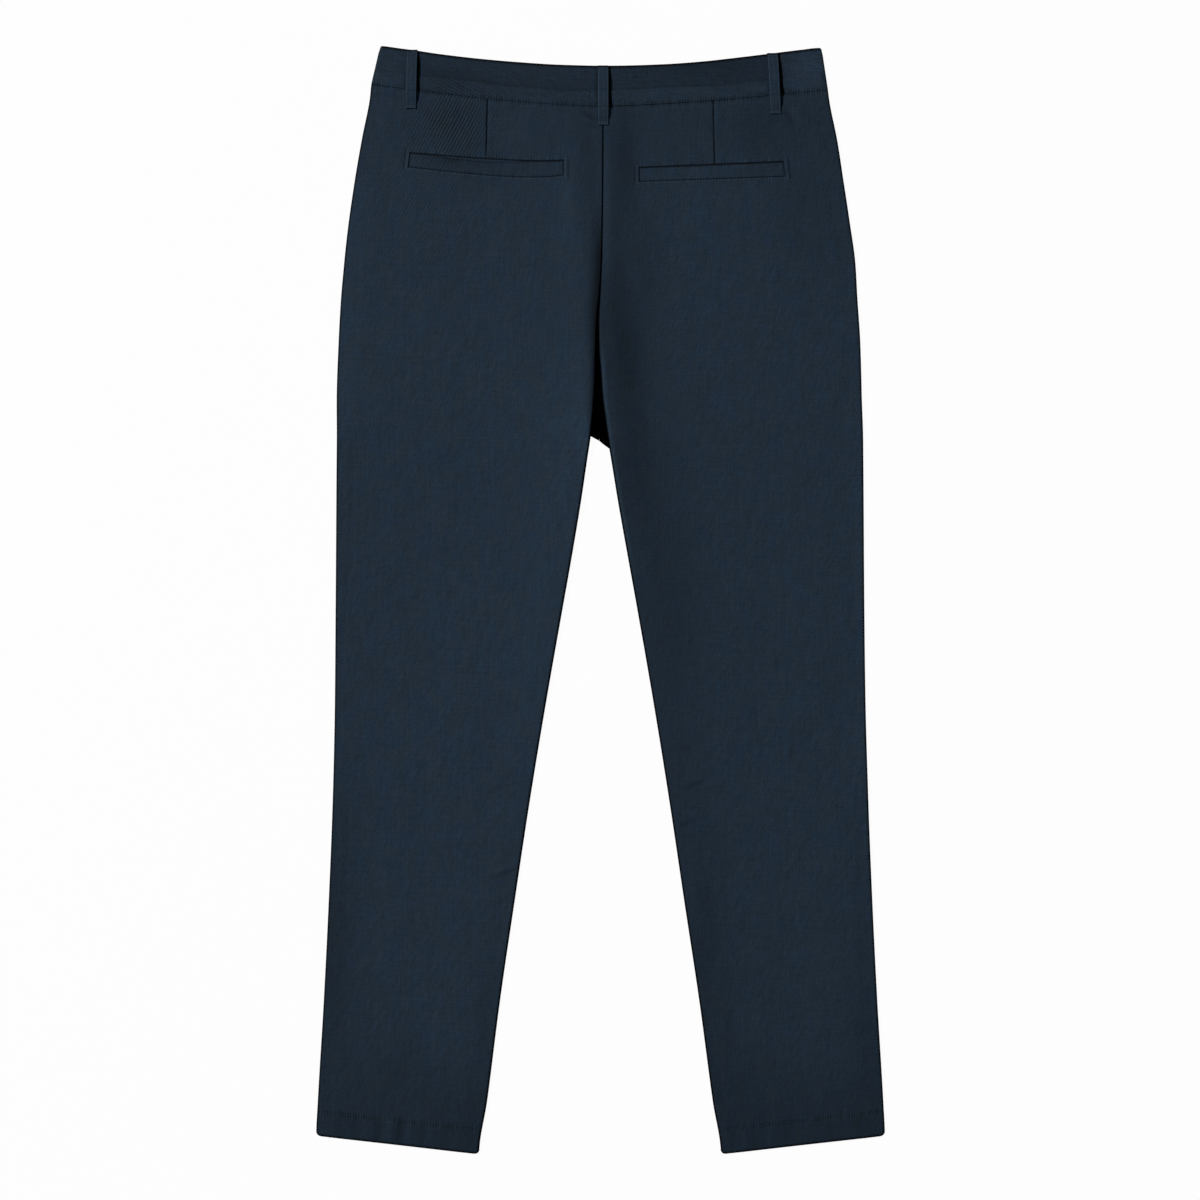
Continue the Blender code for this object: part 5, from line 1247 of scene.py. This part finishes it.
FRONT_PANELS = {}
for side, word in SIDES:
    lines = section_lines(side, FRONT_SPACING, FRONT_CLOSE_LINES)
    inner, crease, outer = leg_edges(side, lines)
    joined, cut = lines.y > JOINED_FOOT, lines.y > SLANT_END_Y
    start = fly_u(side, lines.y) + SEAM_GAP / 2
    crest_in = np.where(joined, np.maximum(inner, start), inner) + FOLD_WIDTH
    slant = slant_u(side, front_y(lines, slant_u(side, lines.y), inner, outer))
    slant_crest = slant - SEAM_GAP / 2 - FRONT_EDGE_COLUMNS * SLANT_COLUMN
    crest_out = np.where(cut, slant_crest, outer - FOLD_WIDTH)
    shares = np.linspace(0.0, 1.0, math.ceil(HALF_LEG / FRONT_SPACING) + 1)[None, :]
    u = np.hstack([mix(crest_in, crease, shares), mix(crease, crest_out, shares)[:, 1:]])
    y = front_y(lines, u, inner, outer)
    added, tone, pucker = front_relief(side, u, y, y - hem_y(side, u))
    z = front_lift(side, u, y) + added

    # The edge at the middle: the fly and the seam below it, and under the fork the inseam.
    inseam = front_fold(inner, -1, fold_seam(side, crest_in, lines.y - lines.fork * inner), 0.0)
    first, last = [], []
    for step, fold in enumerate(reversed(inseam)):
        fly = mix(start, crest_in, step / FRONT_EDGE_COLUMNS)
        fly_z = front_lift(side, fly, front_y(lines, fly, inner, outer))
        first.append(either(joined, (fly, fly_z, 1.0), fold))

    # The edge at the side: the pocket's slant, and under it the fold at the side seam.
    seam = fold_seam(side, crest_out, line_y(lines, crest_out, inner, outer))
    for step, fold in enumerate(front_fold(outer, 1, seam, z[:, -1:])):
        edge_u = crest_out + (step + 1) * SLANT_COLUMN
        last.append(either(cut, (edge_u, front_lift(side, edge_u, y[:, -1:]), 1.0), fold))
    first, last = stacked(first, seam.shape), stacked(last, seam.shape)
    u, z, tone = (np.hstack(parts) for parts in zip(first, (u, z, tone), last))
    pucker = np.pad(pucker, ((0, 0), (FRONT_EDGE_COLUMNS, FRONT_EDGE_COLUMNS)))
    y = front_y(lines, u, inner, outer)
    y = y + hem_rise(np.minimum(u - inner, outer - u), y - hem_y(side, u))
    wall = hem_wall(side, u, y)
    for place, columns in (("fork", slice(None, FRONT_EDGE_COLUMNS)),
                           ("above side pocket end", slice(-FRONT_EDGE_COLUMNS, None))):
        corner = (lines.place[:, 0] >= PLACES[place]) & (lines.place[:, 0] <= PLACES[place] + 1)
        wall[corner, columns] = CORNER_WALL
    x, y, z, wall, tone, pucker = turned(side, False, side * u, y, z, wall, tone, pucker)
    panel = cloth("front_panel_" + word, x, y, z, wall, NAVY_TWILL, tone, pucker, ribs=FRONT_RIBBED)
    FRONT_PANELS[side] = panel
    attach(panel, "root")
    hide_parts("front_" + word)

    # The facing, from the slanted edge to the side seam.
    above = cut[:, 0]
    lines = Lines(*(part[above] for part in lines))
    inner, outer = inner[above], outer[above]
    start, crest_out = slant[above] + SEAM_GAP / 2, outer - FOLD_WIDTH
    u = mix(start, crest_out, np.linspace(0.0, 1.0, FACING_COLUMNS)[None, :])
    y = front_y(lines, u, inner, outer)
    z = front_lift(side, u, y)
    seam = fold_seam(side, crest_out, line_y(lines, crest_out, inner, outer))
    fold_u, fold_z, fold_shade = stacked(front_fold(outer, 1, seam, z[:, -1:]), seam.shape)
    # Painted shade beside the slanted edge of the facing, and on its fold.
    tone = np.hstack([mix(0.7, 1.0, ramp(u - start, 0.0, 0.003)), fold_shade])
    u, z = np.hstack([u, fold_u]), np.hstack([z, fold_z])
    y = np.hstack([y, np.repeat(y[:, -1:], FRONT_EDGE_COLUMNS, axis=1)])
    y[-1] += SEAM_GAP
    x, y, z, tone = turned(side, False, side * u, y, z, tone)
    facing = cloth("pocket_facing_cloth_" + word, x, y, z, WALL, NAVY_TWILL, tone, ribs=FRONT_RIBBED)
    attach(facing, "root")
    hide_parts("pocket_facing_" + word)


# --------------------------------------------------------------------------------- sewing
# Navy sewing thread, a little lighter than the cloth: lockstitches along the hems, the waist
# seam, the pockets, the fly and the belt loops, and close satin stitches for the bar tacks.

STITCH_PITCH, STITCH_LENGTH, STITCH_WIDTH = 0.0027, 0.0021, 0.00045
FINE_STITCH = 0.00036        # the width of the stitches that lie deeper
WELT_STITCH_PITCH, WELT_STITCH_LENGTH = 0.0028, 0.0016
TACK_LENGTH, TACK_WIDTH, TACK_SLANT = 0.0018, 0.00040, math.radians(78)
THREAD_SINK = 0.00016
UNDER_LIFT = 0.00005         # how far the stitches under the front stand out
PROBE_START = 0.05           # a path is laid on a surface from this far above or below the floor
BAR_TACK_PITCH = 0.00042


def stitch_group():
    """A geometry node tree that lays one stitch after another along the edges of a mesh."""
    tree = bpy.data.node_groups.new("sewn_stitches", "GeometryNodeTree")
    sockets(tree, "INPUT", ("Path", "Geometry", None), ("Pitch", "Float", STITCH_PITCH),
            ("Length", "Float", STITCH_LENGTH), ("Width", "Float", STITCH_WIDTH),
            ("Slant", "Float", 0.0), ("Seed", "Int", 7), ("Thread", "Material", None))
    sockets(tree, "OUTPUT", ("Stitches", "Geometry", None))
    given = add(tree, "NodeGroupInput")
    curve = add(tree, "GeometryNodeMeshToCurve", {"Mesh": given["Path"]})[0]
    points = add(tree, "GeometryNodeResampleCurve", {"Curve": curve, "Length": given["Pitch"]},
                 mode="LENGTH")[0]
    stitch = add(tree, "GeometryNodeMeshUVSphere", {"Segments": 6, "Rings": 4, "Radius": 0.5})["Mesh"]
    tangent = add(tree, "GeometryNodeInputTangent")[0]
    turn = add(tree, "ShaderNodeVectorRotate", {"Vector": tangent, "Angle": given["Slant"]},
               rotation_type="Z_AXIS")[0]
    along = add(tree, "FunctionNodeAlignRotationToVector", {"Vector": turn}, axis="X")[0]
    uneven = add(tree, "FunctionNodeRandomValue", {2: 0.85, 3: 1.08, "Seed": given["Seed"]},
                 data_type="FLOAT")[1]
    long = add(tree, "ShaderNodeMath", {0: given["Length"], 1: uneven}, operation="MULTIPLY")[0]
    size = add(tree, "ShaderNodeCombineXYZ", {"X": long, "Y": given["Width"], "Z": given["Width"]})[0]
    placed = add(tree, "GeometryNodeInstanceOnPoints", {
        "Points": points, "Instance": stitch, "Rotation": along, "Scale": size})[0]
    real = add(tree, "GeometryNodeRealizeInstances", {0: placed})[0]
    smooth = add(tree, "GeometryNodeSetShadeSmooth", {0: real})[0]
    finish = add(tree, "GeometryNodeSetMaterial", {"Geometry": smooth, "Material": given["Thread"]})[0]
    add(tree, "NodeGroupOutput", {0: finish})
    return tree


STITCHES = stitch_group()


def speckled(name, colour, roughness, metallic, scale, contrast, relief, specular=0.5):
    """A finish with fine uneven grain, for thread, metal and resin."""
    made, tree, shader = material(name, {
        "Roughness": roughness, "Metallic": metallic, "Specular IOR Level": specular})
    place = add(tree, "ShaderNodeTexCoord")["Object"]
    mapped = add(tree, "ShaderNodeMapping", {"Scale": scale, "Vector": place})[0]
    grain = add(tree, "ShaderNodeTexNoise", {"Scale": 1.0, "Detail": 3.0, "Vector": mapped})["Fac"]
    dark, light = (
        (*(share * part for part in colour), 1.0) for share in (1.0 - contrast, 1.0 + contrast))
    blend = add(tree, "ShaderNodeMix", {0: grain, 6: dark, 7: light}, data_type="RGBA")[2]
    surfaced(tree, shader, blend, grain, 0.5, relief)
    return made


THREAD_GRAIN = (2600.0, 2600.0, 2600.0)
PALE_THREAD, NAVY_THREAD = (
    speckled(name, colour, roughness=0.6, metallic=0.0, scale=THREAD_GRAIN, contrast=0.35,
             relief=0.00008, specular=0.15)
    for name, colour in (("pale_thread", (0.050, 0.072, 0.100)), ("navy_thread", (0.023, 0.038, 0.060))))


def faces_of(*pieces):
    """The faces of several pieces, for finding the surface that a path lies on."""
    points, polygons = [], []
    for piece in pieces:
        base = len(points)
        points += [vertex.co.copy() for vertex in piece.data.vertices]
        polygons += [[base + i for i in polygon.vertices] for polygon in piece.data.polygons]
    return BVHTree.FromPolygons(points, polygons)


def laid_on(surface, x, y, above=True):
    """A path through x and y, laid on a surface from above or from below."""
    path = []
    away = 1.0 if above else -1.0
    lift = STITCH_WIDTH / 2 - (THREAD_SINK if above else UNDER_LIFT)
    for place in zip(*np.broadcast_arrays(x, y)):
        found = surface.ray_cast(Vector((*place, PROBE_START * away)), Vector((0.0, 0.0, -away)))[0]
        if found is not None:
            path.append((*place, found.z + lift))
    return path


def sew(name, paths, pitch=STITCH_PITCH, length=STITCH_LENGTH, width=STITCH_WIDTH, slant=0.0,
        finish=NAVY_THREAD, slot="twill"):
    """Stitches along paths, as one piece that rides on the trousers."""
    points, edges = [], []
    for path in paths:
        edges += [(len(points) + i, len(points) + i + 1) for i in range(len(path) - 1)]
        points += path
    mesh = bpy.data.meshes.new(name)
    mesh.from_pydata(points, edges, [])
    piece = linked(name, mesh)
    run = piece.modifiers.new("stitches", "NODES")
    run.node_group = STITCHES
    values = {"Pitch": pitch, "Length": length, "Width": width, "Slant": slant, "Thread": finish}
    for socket in STITCHES.interface.items_tree:
        if socket.in_out == "INPUT" and socket.name in values:
            run[socket.identifier] = values[socket.name]
    settle(piece, sharp=None)
    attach(piece, "root")


def evenly(start, end, spacing=0.0012):
    return np.linspace(start, end, max(2, int(abs(end - start) / spacing)))


def y_range(piece):
    ends = [vertex.co.y for vertex in piece.data.vertices]
    return min(ends), max(ends)


back_surface = {side: faces_of(BACK_PANELS[side], WELT_PIECES[side]) for side, _ in SIDES}
front_surface = {side: faces_of(FRONT_PANELS[side]) for side, _ in SIDES}

# Hems, back and front.
paths = []
for side, word in SIDES:
    stitch_y = HEM.y + HEM_DEPTH
    u = evenly(inner_u(side, stitch_y) + 0.0016, side_u(side, stitch_y) - 0.0016)
    y = hem_y(side, u) + HEM_DEPTH
    paths.append(laid_on(back_surface[side], side * u, y))
    paths.append(laid_on(front_surface[side], side * u, y, above=False))
sew("hem_stitches", paths)

# The waist seam, sunk between the band and the panels.
x = evenly(-0.203, 0.203)
y = waist_y_at(x) + BAND_EASE + 0.0007
sew("waist_seam_stitches", [laid_on(faces_of(waistband), x, y)], width=FINE_STITCH)

# The welts: along the foot and up both ends.
WELT_END_OUT = 0.0021
feet, paths = [], []
for side, word in SIDES:
    u, y = pocket_line(side, "pocket foot", evenly(-0.012, 1.012, 0.010))
    feet.append(laid_on(back_surface[side], side * u, y - 0.0007))
    for share, out in ((0.0, -WELT_END_OUT), (1.0, WELT_END_OUT)):
        top_u, top_y = pocket_line(side, "pocket top", share)
        foot_u, foot_y = pocket_line(side, "pocket foot", share)
        step = evenly(0.0, 1.0, 0.1)
        u, y = mix(top_u, foot_u, step) + out, mix(top_y, foot_y, step)
        paths.append(laid_on(back_surface[side], side * u, y))
sew("welt_foot_stitches", feet, WELT_STITCH_PITCH, WELT_STITCH_LENGTH, finish=PALE_THREAD)
sew("welt_end_stitches", paths, WELT_STITCH_PITCH, WELT_STITCH_LENGTH)

# Belt loops: two rows along each, and bar tacks at both ends.
TACK_HALF, TACK_INSET = 0.0041, 0.0024
paths, tacks = [], []
for loop, piece in zip(LOOPS, BACK_LOOPS):
    face = faces_of(piece)
    low, high = y_range(piece)
    y = evenly(high - 0.0006, low + 0.0006)
    centre = mix(loop.top_x, loop.foot_x, (high - y) / (high - low))
    for across in (LOOP_STITCH_SHARE, 1.0 - LOOP_STITCH_SHARE):
        paths.append(laid_on(face, centre + (across - 0.5) * LOOP_WIDTH, y))
    for tack_y in (high - TACK_INSET, low + TACK_INSET):
        centre = mix(loop.top_x, loop.foot_x, (high - tack_y) / (high - low))
        tacks.append(laid_on(face, evenly(centre - TACK_HALF, centre + TACK_HALF), tack_y))
for (side, word), piece in zip(SIDES, FRONT_LOOPS):
    low, high = y_range(piece)
    x = evenly(side * FRONT_LOOP_U - TACK_HALF, side * FRONT_LOOP_U + TACK_HALF)
    for tack_y in (high - TACK_INSET, low + TACK_INSET):
        tacks.append(laid_on(faces_of(piece), x, tack_y, above=False))
sew("loop_edge_stitches", paths, width=FINE_STITCH)

# The fly's curved row, and the slanted pockets' rows with a tack at each end.
FLY_TURN_Y, FLY_TURN_ACROSS, FLY_TURN_DOWN = 0.340, 0.028, 0.034
FLY_TURN, FLY_TURN_STEPS = 80.0, 26
SLANT_ROW_TOP, SLANT_TACK_TOP = 0.444, 0.440
y = evenly(waist_y(LEFT, FLY_STITCH_U) - FRONT_DIP - 0.002, FLY_TURN_Y)
turn = np.radians(np.linspace(0.0, FLY_TURN, FLY_TURN_STEPS))
curve_x = -FLY_STITCH_U + FLY_TURN_ACROSS * (1.0 - np.cos(turn))
fly_x = np.concatenate([np.full_like(y, -FLY_STITCH_U), curve_x])
fly_y = np.concatenate([y, FLY_TURN_Y - FLY_TURN_DOWN * np.sin(turn)])
paths = [laid_on(front_surface[LEFT], fly_x, fly_y, above=False)]
tacks.append(laid_on(front_surface[LEFT], evenly(-0.0105, -0.0040, 0.0008), 0.312, above=False))
for side, word in SIDES:
    y = evenly(SLANT_ROW_TOP, SLANT_END_Y + 0.004)
    paths.append(laid_on(front_surface[side], side * (slant_u(side, y) - SLANT_STITCH), y, above=False))
    for tack_y in (SLANT_TACK_TOP, SLANT_END_Y + 0.006):
        edge_u = slant_u(side, tack_y)
        u = evenly(edge_u - 0.0070, edge_u - 0.0012)
        tacks.append(laid_on(front_surface[side], side * u, tack_y, above=False))
sew("front_stitches", paths)
sew("bar_tacks", tacks, BAR_TACK_PITCH, TACK_LENGTH, TACK_WIDTH, TACK_SLANT)


# ------------------------------------------------------------------------- zip and button
# Under the fly lie the zip's two navy tapes with their closed brass chain, and the slider with
# its tab turned down. The button is turned from dark resin and sewn on through four holes.

ZIP_FOOT, ZIP_TOP, ZIP_STEPS = 0.310, 0.425, 60
ZIP_TAPE, ZIP_TAPE_WALL = 0.0006, 0.00045
ZIP_CORD_U, ZIP_CORD = 0.0034, 0.0006
ZIP_TOOTH_PITCH, ZIP_TOOTH_LENGTH = 0.0016, 0.0040
ZIP_HEIGHTS = table(
    "y under", (0.31, 0.00154), (0.32, 0.00154), (0.339, 0.00197), (0.358, 0.00288), (0.377, 0.00363),
    (0.387, 0.00374), (0.425, 0.00374))
ZIP_SECTION = table(
    "u up", (0.0, 0.0006), (0.001, 0.0006), (0.0022, 0.0006), (0.003, 0.00078), (0.0038, 0.00078),
    (0.0046, 0.0006), (0.0065, 0.00056), (0.0085, 0.0006), (0.0103, 0.00056), (0.011, 0.00045))
TAPE_NAVY = twill("zip_tape_navy", (0.0100, 0.0165, 0.0270), yarn_contrast=1.6)
BRASS = speckled("antique_brass", (0.30, 0.25, 0.15), roughness=0.34, metallic=1.0,
                 scale=(900.0, 300.0, 900.0), contrast=0.25, relief=0.00003)
RESIN = speckled("dark_resin", (0.010, 0.013, 0.021), roughness=0.32, metallic=0.0,
                 scale=(260.0, 700.0, 400.0), contrast=0.45, relief=0.00001)

y = mix(ZIP_TOP, ZIP_FOOT, np.linspace(0.0, 1.0, ZIP_STEPS + 1)[:, None])
half_x, half_up = zip(*ZIP_SECTION)
x = np.array([-u for u in reversed(half_x)] + list(half_x[1:]))[None, :]
up = np.array(half_up[::-1] + half_up[1:])[None, :]
tape = cloth(
    "zip_tape_cloth", FLY_OFFSET + x, y, read(ZIP_HEIGHTS, y, "under") + up, ZIP_TAPE_WALL,
    TAPE_NAVY, 1.0 - 0.3 * bell(np.abs(x) - ZIP_CORD_U, ZIP_CORD))
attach(tape, "root")
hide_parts("zip_tape")

chain = [
    (FLY_OFFSET, tooth_y, read(ZIP_HEIGHTS, tooth_y, "under") + ZIP_TAPE + 0.0001)
    for tooth_y in evenly(ZIP_TOP - 0.004, ZIP_FOOT + 0.006, 0.002)]
sew("zip_teeth", [chain], pitch=ZIP_TOOTH_PITCH, length=ZIP_TOOTH_LENGTH, width=0.0009,
    slant=math.pi / 2, finish=BRASS, slot="zip_metal")

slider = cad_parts["zip_slider"]
slider.data.materials.clear()
slider.data.materials.append(BRASS)

BUTTON_HOLE, BUTTON_HOLE_U, BUTTON_SEGMENTS = 0.0009, 0.0016, 64
BUTTON_STITCH = (0.00045, 0.0012, 0.00050)                   # pitch, length and width
BUTTON_PROFILE = table(
    "radius height", (0.0, 0.00062), (0.0056, 0.00062), (0.0062, 0.00056), (0.0067, 0.0003),
    (0.0071, 0.00008), (0.0076, 0.0), (0.0081, 0.00012), (0.0084, 0.0004), (0.0085, 0.0008),
    (0.0084, 0.00125), (0.008, 0.0016), (0.0073, 0.0018), (0.0, 0.0018))
HOLE_PROFILE = table(
    "radius height", (0.0, -0.001), (BUTTON_HOLE, -0.001), (BUTTON_HOLE, 0.003), (0.0, 0.003))


def lathe(name, profile, segments):
    """A closed round piece of resin turned from a profile of radius and height."""
    bm = bmesh.new()
    rings = []
    angles = [2.0 * math.pi * step / segments for step in range(segments)]
    for radius, height in profile:
        ring = angles if radius else angles[:1]
        rings.append([bm.verts.new((radius * math.cos(a), radius * math.sin(a), height)) for a in ring])
    for ring, following in zip(rings, rings[1:]):
        for i in range(segments):
            j = (i + 1) % segments
            corners = [ring[i % len(ring)], ring[j % len(ring)], following[j % len(following)],
                       following[i % len(following)]]
            bm.faces.new(list(dict.fromkeys(corners)))
    bmesh.ops.recalc_face_normals(bm, faces=bm.faces)
    mesh = bpy.data.meshes.new(name)
    bm.to_mesh(mesh)
    bm.free()
    mesh.materials.append(RESIN)
    return linked(name, mesh)


button_y = float(waist_y(RIGHT, 0.0) + band_top_y(0.0)) / 2.0 - FRONT_DIP
button = lathe("button_resin", BUTTON_PROFILE, BUTTON_SEGMENTS)
holes = []
for hole_x in (-BUTTON_HOLE_U, BUTTON_HOLE_U):
    for hole_y in (-BUTTON_HOLE_U, BUTTON_HOLE_U):
        rod = lathe("hole", HOLE_PROFILE, 16)
        rod.data.transform(Matrix.Translation((hole_x, hole_y, 0.0)))
        cut_hole = button.modifiers.new("hole", "BOOLEAN")
        cut_hole.object = rod
        cut_hole.solver = "EXACT"
        holes.append(rod)
settle(button, sharp=40)
for rod in holes:
    bpy.data.objects.remove(rod, do_unlink=True)
for vertex in button.data.vertices:
    vertex.co.y += button_y
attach(button, "root")
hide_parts("waist_button")
threads = []
for hole_x in (-BUTTON_HOLE_U, BUTTON_HOLE_U):
    step = np.linspace(-BUTTON_HOLE_U, BUTTON_HOLE_U, 6)
    threads.append([(hole_x, button_y + place_y, 0.00050) for place_y in step])
sew("button_thread", threads, *BUTTON_STITCH)


# ------------------------------------------------------------------------------- the room
# A plain pale floor, one big soft light from the left, and a little light from all round.

FLOOR_HALF, FLOOR_DROP = 20.0, 0.0002
WHITE = (1.0, 1.0, 1.0, 1.0)
mesh = bpy.data.meshes.new("floor")
corners = [(x * FLOOR_HALF, y * FLOOR_HALF, 0.0) for x, y in ((-1, -1), (1, -1), (1, 1), (-1, 1))]
mesh.from_pydata(corners, [], [(0, 1, 2, 3)])
floor = linked("floor", mesh)
floor.location = (0.0, 0.0, -FLOOR_DROP)
floor.visible_diffuse = False
floor.visible_glossy = False
paper, _, _ = material("white_paper", {
    "Base Color": (0.02, 0.02, 0.02, 1.0), "Roughness": 0.9, "Specular IOR Level": 0.0,
    "Emission Color": WHITE, "Emission Strength": 0.965})
mesh.materials.append(paper)

world = bpy.data.worlds.new("room")
world.use_nodes = True
connect(world.node_tree, world.node_tree.nodes["Background"], {"Color": WHITE, "Strength": 0.16})
bpy.context.scene.world = world

LIGHT_SIZE, LIGHT_POWER = 1.3, 450.0
LIGHT_PLACE = Vector((-3.8, 1.6, 5.0))
disk = bpy.data.lights.new("key", "AREA")
disk.shape = "DISK"
disk.size = LIGHT_SIZE
disk.energy = LIGHT_POWER
light = linked("key", disk)
light.location = LIGHT_PLACE
light.rotation_euler = (-LIGHT_PLACE).to_track_quat("-Z", "Y").to_euler()

CAMERA_LENS, SENSOR = 85.0, 36.0
VIEW_WIDTH, VIEW_MIDDLE = 1.0864, (-0.0003, 0.0009)
GARMENT_MIDDLE_HEIGHT = 0.006
lens = bpy.data.cameras.new("camera")
lens.lens = CAMERA_LENS
lens.sensor_width = SENSOR
camera = linked("camera", lens)
camera.location = (*VIEW_MIDDLE, GARMENT_MIDDLE_HEIGHT + VIEW_WIDTH * CAMERA_LENS / SENSOR)
bpy.context.scene.camera = camera
bpy.context.scene.view_settings.view_transform = "Standard"
